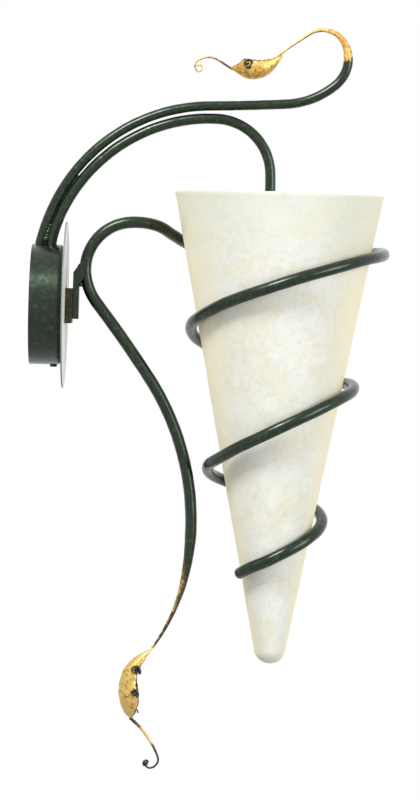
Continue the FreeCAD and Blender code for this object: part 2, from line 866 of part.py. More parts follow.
def bulb_stem():
    """Glass stem that closes the bulb's neck and carries what glows."""
    x, top = holder_place()
    high = bulb_outline(0.0)[1]
    flare = bulb_cap_radius() - bulb_cap_wall - 2 * fitting_gap - bulb_glass_wall
    low = high - stem_length
    return turned([
        (0, high), (flare, high), (flare, high - stem_edge), (stem_radius, high - stem_flare_height),
        (stem_radius, low + stem_bead_height), (stem_bead_radius, low + stem_bead_height - stem_edge),
        (stem_bead_radius, low), (0, low),
    ], x)


# ---- Glass cone --------------------------------------------------------------------------------

def cone_radius(height):
    """Outer radius of the cone's straight side at a height."""
    return rim_radius - cone_slope * (rim_height - height)


def cone_solid(inset):
    """Solid cone with a round tip, its surface drawn in by inset."""
    top = rim_height
    end_radius = tip_radius - inset
    lean = math.radians(cone_half_angle)
    tip_centre = rim_height - (rim_radius - tip_radius / cone_lean) / cone_slope
    rim = cone_radius(top) - inset / cone_lean
    touch = V(cone_x + end_radius * cone_lean, 0, tip_centre - end_radius * math.sin(lean))
    crown_angle = (lean + math.pi / 2) / 2
    side = V(cone_x + end_radius * math.cos(crown_angle), 0,
             tip_centre - end_radius * math.sin(crown_angle))
    end = V(cone_x, 0, tip_centre - end_radius)
    edges = [
        Part.makeLine(V(cone_x, 0, top), V(cone_x + rim, 0, top)),
        Part.makeLine(V(cone_x + rim, 0, top), touch),
        Part.Arc(touch, side, end).toShape(),
        Part.makeLine(end, V(cone_x, 0, top)),
    ]
    return Part.Face(Part.Wire(edges)).revolve(V(cone_x, 0, 0), V(0, 0, 1), 360)


def glass_cone():
    shell = cone_solid(0.0).cut(cone_solid(glass_wall))
    lip = [e for e in shell.Edges if e.BoundBox.ZMin > rim_height - match_tolerance]
    shell = shell.makeFillet(lip_round, lip)
    shell.rotate(V(cone_x, 0, rim_height), V(0, 1, 0), -cone_tilt)
    return shell


# ---- Spiral, scroll and hanging tab ------------------------------------------------------------

def wound_point(angle, depth, air):
    """Centre of the rod where it lies round the cone, air off the glass."""
    height = rim_height - depth
    radius = cone_radius(height) + (rod_radius + air) / cone_lean
    turn = math.radians(angle)
    return V(axis_x(height) + radius * math.cos(turn), radius * math.sin(turn), height)


def axis_x(height):
    """Where the leaning axis of the cone passes a height."""
    return cone_x + (rim_height - height) * axis_drift


def spiral_points():
    """Centres of the rod from where it leaves the cone for the loop down to its lower end."""
    step = 360.0 / spiral_steps_per_turn
    points = []
    for k in range(len(back_steps), 0, -1):
        depth, air = back_steps[k - 1]
        points.append(wound_point(step * k, depth, air))
    for k, (depth, air) in enumerate(spiral_steps):
        points.append(wound_point(-step * k, depth, air))
    points.append(wound_point(-spiral_end_angle, *spiral_end_step))
    return points


def spiral_edges():
    """The spiral's centreline: from the loop's top to the cone, then round it."""
    loop_top = V(loop_top_x, 0, loop_top_height)
    leave = wound_point(leave_angle, leave_depth, leave_gap)
    turn = math.radians(leave_angle)
    leave_direction = V(math.sin(turn), -math.cos(turn), -leave_slope)
    leave_direction.normalize()
    points = spiral_points()
    directions = []
    for k in range(len(points)):
        before = points[k - 1] if k > 0 else leave
        after = points[k + 1] if k + 1 < len(points) else points[k] * 2 - points[k - 1]
        directions.append(wound_direction(before, points[k], after, k + 1 == len(points)))
    loop_direction = direction_of(math.radians(loop_top_heading)) * -1
    edges = biarc(loop_top, loop_direction, leave, leave_direction)
    edges += biarc(leave, leave_direction, points[0], directions[0])
    for k in range(len(points) - 1):
        edges += biarc(points[k], directions[k], points[k + 1], directions[k + 1])
    return edges


def wound_direction(before, point, after, last):
    """Direction of the rod at a point: along the circle round the cone, with its neighbours' fall."""
    out = V(point.x - axis_x(point.z), point.y, 0)
    around = V(out.y, -out.x, 0)
    around.normalize()
    span = after - before
    if last:
        span = (point - before) * 2
    level = math.hypot(span.x, span.y)
    drawn_in = out / out.Length * ((radius_of(after) - radius_of(before)) / level)
    direction = around + drawn_in + V(0, 0, span.z / level)
    direction.normalize()
    return direction


def radius_of(point):
    return math.hypot(point.x - axis_x(point.z), point.y)


def spiral_rod():
    edges = spiral_edges()
    start = edges[0].valueAt(edges[0].FirstParameter)
    heading = direction_of(math.radians(loop_top_heading)) * -1
    profile = Part.Wire(Part.makeCircle(rod_radius, start, heading))
    return Part.Wire(edges).makePipeShell([profile], True, False)


def scroll_route():
    return Route(loop_top_x, loop_top_height, loop_top_heading).bends(scroll_bends)


def scroll_taper_route():
    upper = scroll_route()
    return Route(upper.x, upper.z, math.degrees(upper.heading)).bends(scroll_taper_bends)


def scroll_rod():
    thick_part = round_bar(scroll_route(), rod_radius)
    return thick_part.fuse(thinning_bar(scroll_taper_route(), scroll_taper, scroll_taper_rings))


def rail():
    """T-shaped rail on the tab's back that drops into the hook plate's slot."""
    low = slot_floor + running_gap
    head_back = hook_slot_back() + running_gap
    head = box(head_back, head_back + rail_head_thick, -rail_head_width / 2, rail_head_width / 2,
               low, low + rail_height)
    neck = box(head_back + rail_head_thick, tab_back, -rail_neck_width / 2, rail_neck_width / 2,
               low, low + rail_height)
    return head.fuse(neck)


def hanger_tab():
    """Tab welded to the left of the loop, with the rail that hangs in the hook plate."""
    weld_x = tab_front + rod_radius - weld_bite
    weld_z = loop_top_height - loop_radius
    outline = [
        (tab_back, tab_bottom), (tab_front, tab_bottom), (tab_front, weld_z - tab_weld_drop),
        (weld_x, weld_z - tab_weld_drop / 2), (weld_x, weld_z + tab_weld_rise),
        (tab_front + tab_weld_ledge, weld_z + tab_weld_rise), (tab_back, weld_z - tab_weld_rise / 2),
    ]
    solid = extruded(outline, -tab_width / 2, tab_width / 2).fuse(rail())
    route = scroll_route()
    return solid.cut(round_bar(route, rod_radius + weld_seam)).removeSplitter()


# ---- Leaves and tendrils -----------------------------------------------------------------------

def leaf_section(origin, step):
    """A cupped slice of a leaf: the keel is its lowest point and the edges curl up at both sides."""
    keel_x, keel_z, edge_x, edge_z, half_width = step
    keel = origin + V(keel_x, 0, keel_z)
    edge = origin + V(edge_x, 0, edge_z)
    depth = (edge - keel).Length
    up = (edge - keel) / depth
    wall = min(leaf_thick, depth * leaf_thick_depth_share, half_width * leaf_thick_width_share)
    side = ring_direction * half_width
    inner_side = ring_direction * (half_width - wall)
    outer = Part.Arc(edge - side, keel, edge + side).toShape()
    inner = Part.Arc(edge + inner_side, keel + up * wall, edge - inner_side).toShape()
    return Part.Wire([
        outer, Part.makeLine(edge + side, edge + inner_side),
        inner, Part.makeLine(edge - inner_side, edge - side),
    ])


def leaf(origin, steps):
    return Part.makeLoft([leaf_section(origin, step) for step in steps], True, False)


def tendril(start, heading, bends, thick):
    route = Route(start.x, start.z, heading).bends(bends)
    table = [(0.0, thick[0]), (route.length, thick[1])]
    return thinning_bar(route, table, tendril_rings)


def upper_leaf():
    return leaf(upper_leaf_origin(), upper_leaf_steps)


def upper_tendril():
    start = upper_leaf_origin() + V(upper_tendril_start[0], 0, upper_tendril_start[1])
    return tendril(start, upper_tendril_heading, upper_tendril_bends, upper_tendril_thick)


def tail_leaf():
    return leaf(scroll_taper_route().end(), tail_leaf_steps)


def tail_tendril():
    start = scroll_taper_route().end() + V(tail_tendril_start[0], 0, tail_tendril_start[1])
    return tendril(start, tail_tendril_heading, tail_tendril_bends, tail_tendril_thick)


# ---- Write every piece -------------------------------------------------------------------------

PIECES = [
    wall_bracket, cable_bush, earth_screw, terminal_block, terminal_sleeves, terminal_screws,
    canopy, canopy_screw, arm_block, load_plate, spacer, reflector_disc, hook_plate, hook_screws, hook_nuts,
    upper_arm, upper_finial, upper_leaf, upper_tendril, lamp_arm, lamp_flex,
    holder_nipple, holder_locknut, holder_cap, holder_core, holder_shell, holder_skirt, centre_contact,
    bulb_contact, bulb_cap, bulb_glass, bulb_stem,
    glass_cone, hanger_tab, spiral_rod, scroll_rod, tail_leaf, tail_tendril,
]

os.makedirs("parts", exist_ok=True)
for piece in PIECES:
    shape = piece()
    shape.exportStep("parts/" + piece.__name__ + ".step")
    print(piece.__name__, len(shape.Solids), "solids", round(shape.Volume, 1), "valid", shape.isValid())
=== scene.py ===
# Looks of a torch sconce in blackened iron with gilded leaves and a frosted-glass cone.
# Sizes are in millimetres, and meshes in metres. +X leaves the wall, +Z is up, and the camera
# looks along +Y.
import json
import math
from collections import namedtuple

import bmesh
import bpy
from mathutils import Matrix, Vector, noise

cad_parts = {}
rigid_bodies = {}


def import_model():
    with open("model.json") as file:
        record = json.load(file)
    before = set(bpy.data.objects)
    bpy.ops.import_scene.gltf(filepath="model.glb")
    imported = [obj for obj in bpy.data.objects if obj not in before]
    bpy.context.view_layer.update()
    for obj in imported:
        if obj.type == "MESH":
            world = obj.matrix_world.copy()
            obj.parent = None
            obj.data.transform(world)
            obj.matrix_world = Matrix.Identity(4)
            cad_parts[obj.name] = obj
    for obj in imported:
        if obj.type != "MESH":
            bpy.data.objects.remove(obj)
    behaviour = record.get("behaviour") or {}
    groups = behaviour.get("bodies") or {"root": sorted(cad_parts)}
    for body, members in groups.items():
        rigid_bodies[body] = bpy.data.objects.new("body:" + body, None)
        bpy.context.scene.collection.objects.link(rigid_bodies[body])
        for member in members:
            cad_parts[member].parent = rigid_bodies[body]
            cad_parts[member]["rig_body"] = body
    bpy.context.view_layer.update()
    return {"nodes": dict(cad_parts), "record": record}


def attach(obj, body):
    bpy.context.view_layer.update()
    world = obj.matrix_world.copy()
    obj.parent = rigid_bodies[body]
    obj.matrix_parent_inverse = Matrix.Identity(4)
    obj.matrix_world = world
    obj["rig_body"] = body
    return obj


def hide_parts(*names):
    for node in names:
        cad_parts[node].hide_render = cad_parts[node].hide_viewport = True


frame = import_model()

MM = 0.001
SLOT_OF_NODE = {part["node"]: part["material_slot"] for part in frame["record"]["subparts"]}


# ---- Sizes that the shapes share ----

bar_radius = 4.8
tube_radius = 5.25
rod_radius = 5.9
loop_top_x = 97.03
loop_top_height = 84.1
loop_top_heading = 184.8
cone_x = 245.08
rim_height = 117.0
rim_radius = 104.4
cone_half_angle = 10.97
cone_tilt = 0.37
tip_radius = 16.0
glass_wall = 4.0
lip_round = 1.5
ground_rim = 1.2  # depth of the ground edge at the cone's rim
painted_shade_from = 20.0  # heights between which the glass's upper part is painted greyer, a painted shade
painted_shade_to = 115.0
disc_face_radius = 82.2  # where the disc's pale face ends
disc_rim_radius = 82.9  # and its dark edge begins
rings_per_metre = 1500.0
ACROSS = Vector((0.0, 1.0, 0.0))
cone_slope = math.tan(math.radians(cone_half_angle))
cone_lean = math.cos(math.radians(cone_half_angle))
axis_drift = math.tan(math.radians(cone_tilt))


# ---- Node trees ----

def operator(operation, swapped=False):
    """A sum with an amount; swapped when the amount stands second."""
    def work(self, other):
        first, second = (other, self) if swapped else (self, other)
        return self.nodes.amount("ShaderNodeMath", "Value", {0: first, 1: second},
                                 operation=operation)
    return work


class Amount:
    """An output of a node that takes part in sums."""

    def __init__(self, nodes, socket):
        self.nodes = nodes
        self.socket = socket

    __add__ = operator("ADD")
    __radd__ = operator("ADD", swapped=True)
    __sub__ = operator("SUBTRACT")
    __rsub__ = operator("SUBTRACT", swapped=True)
    __mul__ = operator("MULTIPLY")
    __rmul__ = operator("MULTIPLY", swapped=True)
    __truediv__ = operator("DIVIDE")
    __rtruediv__ = operator("DIVIDE", swapped=True)
    __pow__ = operator("POWER")
    larger = operator("MAXIMUM")

    def step(self, low, high):
        """0 below low, 1 above high, and a soft rise between them."""
        return self.nodes.amount("ShaderNodeMapRange", "Result", {
            "Value": self, "From Min": low, "From Max": high}, interpolation_type="SMOOTHSTEP")


class Nodes:
    """A node tree while it is built."""

    def __init__(self, tree):
        self.tree = tree

    def node(self, kind, sockets=None, **settings):
        """A new node: its settings first, then a value or a link for each named socket."""
        made = self.tree.nodes.new(kind)
        for name, value in settings.items():
            setattr(made, name, value)
        for name, value in (sockets or {}).items():
            socket = pick(made.inputs, name)
            if isinstance(value, Amount):
                self.tree.links.new(value.socket, socket)
            else:
                socket.default_value = value
        return made

    def amount(self, kind, output, sockets=None, **settings):
        made = self.node(kind, sockets, **settings)
        return Amount(self, pick(made.outputs, output))


def pick(sockets, name):
    """A socket by its number, or the one in use that has that name."""
    if isinstance(name, int):
        return sockets[name]
    return next(s for s in sockets if s.name == name and s.enabled)


def srgb(red, green, blue):
    """A colour as a screen shows it, from 0 to 255, as light."""
    shares = [value / 255 for value in (red, green, blue)]
    light = [s / 12.92 if s <= 0.04045 else ((s + 0.055) / 1.055) ** 2.4 for s in shares]
    return (*light, 1.0)


# ---- Finishes ----

# What a finish shows at a point.
Look = namedtuple("Look", "colour roughness metal height")


class Finish(Nodes):
    """A material with one surface, patterned in the piece's own metres."""

    def __init__(self, name):
        self.material = bpy.data.materials.new(name)
        self.material.use_nodes = True
        self.material.node_tree.nodes.clear()
        super().__init__(self.material.node_tree)
        self.place = self.amount("ShaderNodeTexCoord", "Object")

    def stretched(self, shares):
        return self.amount("ShaderNodeMapping", "Vector", {"Vector": self.place, "Scale": shares})

    def axis(self, letter):
        return self.amount("ShaderNodeSeparateXYZ", letter, {"Vector": self.place})

    def clouds(self, size, detail=3.0, roughness=0.5, place=None, distortion=0.0):
        """Soft noise whose patches are about size millimetres across."""
        return self.amount("ShaderNodeTexNoise", "Fac", {
            "Vector": place or self.place, "Scale": 1.0 / (size * MM), "Detail": detail,
            "Roughness": roughness, "Distortion": distortion})

    def dents(self, size):
        """Shallow round dents, about size millimetres apart."""
        return self.amount("ShaderNodeTexVoronoi", "Distance", {
            "Vector": self.place, "Scale": 1.0 / (size * MM), "Smoothness": 0.6},
            feature="SMOOTH_F1")

    def painted(self, name):
        """A number painted on the piece's points."""
        return self.amount("ShaderNodeAttribute", "Fac", attribute_name=name)

    def mix(self, share, first, second):
        """A colour between two."""
        return self.amount("ShaderNodeMix", "Result", {"Factor": share, "A": first, "B": second},
                           data_type="RGBA")

    def between(self, share, first, second):
        """One look between two."""
        return Look(self.mix(share, first.colour, second.colour),
                    first.roughness + (second.roughness - first.roughness) * share,
                    first.metal + (second.metal - first.metal) * share,
                    first.height + (second.height - first.height) * share)

    def show(self, look, depth, **constants):
        """Sets the look on the shader; its height is worth depth millimetres."""
        bump = self.amount("ShaderNodeBump", "Normal",
                           {"Height": look.height, "Distance": depth * MM})
        sockets = {"Base Color": look.colour, "Roughness": look.roughness,
                   "Metallic": look.metal, "Normal": bump}
        sockets.update({name.replace("_", " "): value for name, value in constants.items()})
        shader = self.amount("ShaderNodeBsdfPrincipled", "BSDF", sockets)
        self.node("ShaderNodeOutputMaterial", {"Surface": shader})
        return self.material


WAX = {"Coat_Weight": 0.5, "Coat_Roughness": 0.22}  # a thin coat over the iron


def iron_look(finish):
    """Blackened iron with a thin green bloom, lightly hammered and pitted."""
    broad = finish.clouds(30.0, 3.0)
    bloom = finish.clouds(5.0, 5.0, 0.65)
    pits = finish.clouds(1.0, 2.0)
    dents = finish.dents(6.0)
    colour = finish.mix(broad.step(0.38, 0.62), srgb(10, 36, 18), srgb(26, 42, 16))
    colour = finish.mix(bloom.step(0.5, 0.72) * 0.5, colour, srgb(62, 98, 70))
    colour = finish.mix((1 - bloom).step(0.54, 0.7) * 0.75, colour, srgb(10, 18, 10))
    colour = finish.mix(pits.step(0.54, 0.68) * 0.55, colour, srgb(10, 16, 9))
    roughness = 0.2 + bloom * 0.12 + pits * 0.06
    height = dents * 0.84 + bloom * 0.12 + pits * 0.04
    return Look(colour, roughness, 0.6, height)


def bole_look(finish):
    """The brown ground under the gold leaf."""
    grain = finish.clouds(1.8, 4.0, 0.6)
    colour = finish.mix(grain.step(0.4, 0.66), srgb(58, 42, 20), srgb(128, 98, 50))
    return Look(colour, 0.42 + grain * 0.1, 0.25, grain)


def gold_look(finish):
    """Gold leaf over iron, rubbed through to brown in spots."""
    broad = finish.clouds(14.0, 4.0)
    flecks = finish.clouds(3.0, 5.0, 0.7)
    wrinkles = finish.clouds(4.6, 3.0, 0.6, distortion=1.2)
    aged = (0.0 - finish.axis("Z")).step(0.0, 0.34)
    colour = finish.mix(broad.step(0.35, 0.65), srgb(218, 162, 62), srgb(240, 202, 108))
    colour = finish.mix(aged * 0.75, colour, srgb(218, 188, 102))
    colour = finish.mix(flecks.step(0.53, 0.68) * 0.65, colour, srgb(252, 232, 168))
    colour = finish.mix((1 - flecks).step(0.53, 0.64) * 0.85, colour, srgb(172, 98, 30))
    colour = finish.mix((1 - wrinkles).step(0.58, 0.68) * 0.8, colour, srgb(88, 56, 24))
    roughness = 0.28 + flecks * 0.22
    height = wrinkles * 0.6 + flecks * 0.4
    return Look(colour, roughness, 0.62 + broad * 0.1, height)


def blackened_iron():
    finish = Finish("blackened_iron")
    return finish.show(iron_look(finish), 0.18, Specular_IOR_Level=0.4, **WAX)


def gilded_iron():
    """Gold leaf where the painted gilding is 1, bare iron where it is 0, and a torn brown edge; the
    gilding also carries painted light and shade, so shaded sides and painted shadows show as bare
    iron.
    """
    finish = Finish("gilded_iron")
    torn = finish.clouds(3.4, 4.0, 0.6) - 0.5
    cover = finish.painted("gilding") + torn * 0.9
    look = finish.between(cover.step(0.12, 0.42), iron_look(finish), bole_look(finish))
    look = finish.between(cover.step(0.42, 0.58), look, gold_look(finish))
    return finish.show(look, 0.22, Specular_IOR_Level=0.4, **WAX)


def brown_patina():
    """Brown-black patina of the hook plate."""
    finish = Finish("brown_patina")
    broad = finish.clouds(9.0, 4.0)
    specks = finish.clouds(1.6, 3.0, 0.6)
    colour = finish.mix(broad.step(0.35, 0.65), srgb(38, 44, 24), srgb(62, 62, 34))
    colour = finish.mix(specks.step(0.55, 0.7) * 0.6, colour, srgb(110, 96, 64))
    look = Look(colour, 0.42 + specks * 0.16, 0.2, broad * 0.5 + specks * 0.5)
    return finish.show(look, 0.2, Specular_IOR_Level=0.3)


def pale_lacquer():
    """Off-white lacquer of the disc, with fine turned rings under it."""
    finish = Finish("pale_lacquer")
    across = finish.axis("Y")
    up = finish.axis("Z")
    radius = (across * across + up * up) ** 0.5
    rings = finish.amount("ShaderNodeTexNoise", "Fac", {
        "W": radius * rings_per_metre, "Scale": 1.0, "Detail": 2.0}, noise_dimensions="1D")
    broad = finish.clouds(34.0, 3.0)
    colour = finish.mix(broad.step(0.35, 0.65), srgb(238, 243, 243), srgb(246, 248, 246))
    colour = finish.mix(rings.step(0.5, 0.8) * 0.2, colour, srgb(222, 228, 228))
    edge = radius.step(disc_face_radius * MM, disc_rim_radius * MM)
    colour = finish.mix(edge * 0.9, colour, srgb(128, 132, 128))
    return finish.show(Look(colour, 0.34 + rings * 0.1, 0.0, rings * 0.6 + broad * 0.4), 0.05)


def frosted_glass():
    """Cream frosted glass with pale clouds, a painted glow for the light from inside, painted
    warmth on its sides and painted shade on its top.
    """
    finish = Finish("frosted_glass")
    broad = finish.clouds(46.0, 4.0, 0.55, distortion=0.8)
    streaks = finish.clouds(17.0, 5.0, 0.6, finish.stretched((1.0, 1.0, 0.55)), 1.4)
    grain = finish.clouds(0.9, 2.0)
    mottle = finish.clouds(5.0, 5.0, 0.72)
    height = finish.axis("Z")
    side = finish.axis("X") - (cone_x + rim_height * axis_drift) * MM + height * axis_drift
    girth = height * cone_slope + (rim_radius - rim_height * cone_slope) * MM
    # Painted light: the cone's sides, left and right of its axis, are painted creamier, standing
    # for warmer light through the glass there.
    painted_warm_sides = (side * side / (girth * girth)).step(0.3, 1.05)
    colour = finish.mix(broad.step(0.42, 0.62) * 0.7, srgb(240, 242, 235), srgb(236, 233, 208))
    colour = finish.mix(streaks.step(0.52, 0.68) * 0.6, colour, srgb(248, 250, 246))
    colour = finish.mix((1 - streaks).step(0.56, 0.7) * 0.5, colour, srgb(228, 226, 204))
    colour = finish.mix((1 - mottle).step(0.46, 0.66) * 0.4, colour, srgb(214, 214, 196))
    colour = finish.mix(mottle.step(0.54, 0.7) * 0.5, colour, srgb(252, 253, 248))
    colour = finish.mix(painted_warm_sides * 0.85, colour, srgb(255, 247, 212))
    # Painted shade: the upper part of the cone is painted greyer to tone down its brighter-lit top.
    upper = height.step(painted_shade_from * MM, painted_shade_to * MM)
    colour = finish.mix(upper * 0.6, colour, srgb(224, 226, 212))
    ground = height.step((rim_height - ground_rim) * MM, rim_height * MM)
    colour = finish.mix(ground, colour, srgb(206, 206, 196))
    look = Look(colour, 0.46 + grain * 0.12, 0.0, streaks * 0.4 + mottle * 0.4 + grain * 0.2)
    # A painted glow: emission on the glass that stands for the bulb's light coming through it,
    # painted warmer on the sides.
    glow = finish.mix(painted_warm_sides, srgb(238, 234, 214), srgb(255, 244, 196))
    return finish.show(look, 0.12, Emission_Color=glow, Emission_Strength=0.15, IOR=1.45,
                       Specular_IOR_Level=0.35)


def opal_glass():
    finish = Finish("opal_glass")
    broad = finish.clouds(20.0, 2.0)
    colour = finish.mix(broad, srgb(244, 241, 230), srgb(250, 248, 240))
    glow = finish.mix(broad, srgb(255, 240, 206), srgb(255, 246, 220))
    return finish.show(Look(colour, 0.2 + broad * 0.1, 0.0, broad), 0.02, Emission_Color=glow,
                       Emission_Strength=0.6)


def bright_metal(name, tones, worn, share, sizes, shine, stretch=(1.0, 1.0, 1.0)):
    """Bare or plated metal in two tones, with fine scratches worn into it."""
    finish = Finish(name)
    broad = finish.clouds(sizes[0], 3.0)
    scratch = finish.clouds(sizes[1], 3.0, 0.6, finish.stretched(stretch))
    colour = finish.mix(broad.step(0.35, 0.65), *tones)
    colour = finish.mix(scratch.step(0.6, 0.75) * share, colour, worn)
    return finish.show(Look(colour, shine + scratch * 0.2, 0.95, broad * 0.4 + scratch * 0.6), 0.04)


def black_rubber():
    finish = Finish("black_rubber")
    bloom = finish.clouds(4.0, 4.0)
    grain = finish.clouds(0.6, 2.0)
    colour = finish.mix(bloom.step(0.4, 0.7), srgb(34, 34, 34), srgb(52, 52, 50))
    return finish.show(Look(colour, 0.62 + grain * 0.2, 0.0, bloom * 0.3 + grain * 0.7), 0.05)


def moulded_plastic(name, dark, light):
    """Moulded plastic with the fine grain of its tool."""
    finish = Finish(name)
    broad = finish.clouds(12.0, 2.0)
    grain = finish.clouds(0.5, 2.0)
    colour = finish.mix(broad.step(0.3, 0.7), dark, light)
    return finish.show(Look(colour, 0.36 + grain * 0.16, 0.0, grain), 0.04)


def white_ceramic():
    finish = Finish("white_ceramic")
    broad = finish.clouds(7.0, 3.0)
    specks = finish.clouds(0.8, 2.0)
    colour = finish.mix(broad.step(0.35, 0.65), srgb(226, 222, 208), srgb(238, 235, 224))
    colour = finish.mix(specks.step(0.66, 0.76) * 0.5, colour, srgb(178, 170, 150))
    return finish.show(Look(colour, 0.5 + specks * 0.2, 0.0, broad * 0.5 + specks * 0.5), 0.05)


FINISHES = {
    "dark_iron": blackened_iron(),
    "gold_leaf": gilded_iron(),
    "bronze_brown": brown_patina(),
    "pale_disc": pale_lacquer(),
    "frosted_glass": frosted_glass(),
    "bulb_glass": opal_glass(),
    "steel": bright_metal("plated_steel", (srgb(176, 180, 182), srgb(204, 206, 204)),
                          srgb(132, 134, 134), 0.4, (3.0, 0.7), 0.28, (1.0, 0.2, 1.0)),
    "brass": bright_metal("plain_brass", (srgb(196, 164, 88), srgb(218, 190, 116)),
                          srgb(140, 106, 48), 0.5, (6.0, 0.8), 0.26),
    "rubber": black_rubber(),
    "white_plastic": moulded_plastic("white_plastic", srgb(216, 215, 208), srgb(228, 227, 220)),
    "black_plastic": moulded_plastic("black_plastic", srgb(26, 26, 27), srgb(38, 38, 38)),
    "ceramic": white_ceramic(),
}


# ---- Shapes grown by node trees ----

class Shape(Nodes):
    """A geometry tree with named sizes."""

    def __init__(self, name, sizes):
        super().__init__(bpy.data.node_groups.new(name, "GeometryNodeTree"))
        face = self.tree.interface
        face.new_socket("Geometry", in_out="INPUT", socket_type="NodeSocketGeometry")
        for label, kind in sizes.items():
            face.new_socket(label, in_out="INPUT", socket_type="NodeSocket" + kind)
        face.new_socket("Geometry", in_out="OUTPUT", socket_type="NodeSocketGeometry")
        self.given = self.node("NodeGroupInput")

    def size(self, label):
        return Amount(self, self.given.outputs[label])

    def stored(self, label):
        """A number kept on the points."""
        return self.amount("GeometryNodeInputNamedAttribute", "Attribute", {"Name": label},
                           data_type="FLOAT")

    def line(self):
        """The given edges as a curve."""
        return self.amount("GeometryNodeMeshToCurve", "Curve", {"Mesh": self.size("Geometry")})

    def roughened(self, mesh, lowest, highest):
        """The mesh moved along its normals by soft noise that runs from lowest to highest."""
        soft = self.amount("ShaderNodeTexNoise", "Fac", {
            "Vector": self.amount("GeometryNodeInputPosition", "Position"),
            "W": self.size("Seed"), "Scale": 1.0 / self.size("Patch size"), "Detail": 1.5},
            noise_dimensions="4D")
        rise = lowest + (highest - lowest) * soft.step(0.3, 0.7)
        offset = self.amount("ShaderNodeVectorMath", "Vector", {
            "Vector": self.amount("GeometryNodeInputNormal", "Normal"), "Scale": rise},
            operation="SCALE")
        return self.amount("GeometryNodeSetPosition", "Geometry",
                           {"Geometry": mesh, "Offset": offset})

    def finished(self, mesh):
        """Ends the tree in its finish and real geometry."""
        mesh = self.amount("GeometryNodeSetShadeSmooth", "Geometry", {"Geometry": mesh})
        mesh = self.amount("GeometryNodeRealizeInstances", "Geometry", {"Geometry": mesh})
        mesh = self.amount("GeometryNodeSetMaterial", "Geometry",
                           {"Geometry": mesh, "Material": self.size("Finish")})
        self.node("NodeGroupOutput", {"Geometry": mesh})
        return self.tree


def forged_bar():
    """A round bar along a line whose points carry its radius and gilding, dressed with a hammer;
    painted light and shade then raise the gilding on the side that faces the light and lower it to
    dark iron on the side that faces away.
    """
    shape = Shape("forged_bar", {"Sides": "Int", "Hammer depth": "Float", "Patch size": "Float",
                                 "Rubbing": "Float", "Seed": "Float", "Finish": "Material"})
    circle = shape.amount("GeometryNodeCurvePrimitiveCircle", "Curve",
                          {"Resolution": shape.size("Sides"), "Radius": 1.0})
    swept = shape.amount("GeometryNodeCurveToMesh", "Mesh", {
        "Curve": shape.line(), "Profile Curve": circle, "Scale": shape.stored("radius_here"),
        "Fill Caps": True})
    depth = shape.size("Hammer depth")
    swept = shape.roughened(swept, depth * -0.5, depth * 0.5)
    # Painted light and shade: how far each point faces the light's side, which raises or lowers its
    # gilding.
    painted_light_facing = shape.amount("ShaderNodeVectorMath", "Value", {
        0: shape.amount("GeometryNodeInputNormal", "Normal"), 1: PAINTED_LIGHT_SIDE},
        operation="DOT_PRODUCT")
    gold = shape.stored("gilding") + painted_light_facing * shape.size("Rubbing")
    swept = shape.amount("GeometryNodeStoreNamedAttribute", "Geometry", {
        "Geometry": swept, "Name": "gilding", "Value": gold}, data_type="FLOAT", domain="POINT")
    return shape.finished(swept)


def uneven_skin():
    """A skin that sinks in soft patches and never stands proud."""
    shape = Shape("uneven_skin", {"Depth": "Float", "Patch size": "Float", "Seed": "Float",
                                  "Finish": "Material"})
    return shape.finished(shape.roughened(shape.size("Geometry"), shape.size("Depth") * -1.0, 0.0))


def weld_bead():
    """Overlapping drops of weld metal along a line."""
    shape = Shape("weld_bead", {"Drop spacing": "Float", "Drop radius": "Float", "Seed": "Int",
                                "Finish": "Material"})
    drops = shape.amount("GeometryNodeResampleCurve", "Curve", {
        "Curve": shape.line(), "Length": shape.size("Drop spacing")}, mode="LENGTH")
    ball = shape.amount("GeometryNodeMeshIcoSphere", "Mesh",
                        {"Radius": shape.size("Drop radius"), "Subdivisions": 3})
    spread = shape.amount("FunctionNodeRandomValue", "Value", {
        "Min": 0.6, "Max": 1.2, "Seed": shape.size("Seed")}, data_type="FLOAT")
    placed = shape.amount("GeometryNodeInstanceOnPoints", "Instances",
                          {"Points": drops, "Instance": ball, "Scale": spread})
    return shape.finished(placed)


PAINTED_LIGHT_SIDE = (-0.55, -0.4, 0.73)  # painted light and shade: the gold is raised on what faces up and to the wall, towards the light, and lowered to dark iron on what faces away
FORGED_BAR = forged_bar()
UNEVEN_SKIN = uneven_skin()
WELD_BEAD = weld_bead()


def linked(name, mesh):
    piece = bpy.data.objects.new(name, mesh)
    bpy.context.scene.collection.objects.link(piece)
    return piece


def grown(name, mesh, tree, **sizes):
    """A plain mesh piece from a base mesh and a geometry tree with these sizes."""
    base = linked(name + "_base", mesh)
    modifier = base.modifiers.new("grow", "NODES")
    modifier.node_group = tree
    for item in tree.interface.items_tree:
        label = item.name.replace(" ", "_")
        if item.in_out == "INPUT" and label in sizes:
            modifier[item.identifier] = sizes[label]
    base.update_tag()
    bpy.context.view_layer.update()
    shown = base.evaluated_get(bpy.context.evaluated_depsgraph_get())
    result = bpy.data.meshes.new_from_object(shown)
    base.modifiers.remove(modifier)
    bpy.data.objects.remove(base)
    result.name = name
    return linked(name, result)


def added(piece, body):
    """A piece of detail that rides on a body."""
    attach(piece, body)


def fitted(piece, node):
    """Puts a piece in the place of the node it stands for, on its body."""
    added(piece, frame["nodes"][node]["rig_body"])
    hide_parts(node)


# ---- Lines ----

usual_pace = 2.0  # between points along a bar
fine_pace = 0.5  # and along a tendril


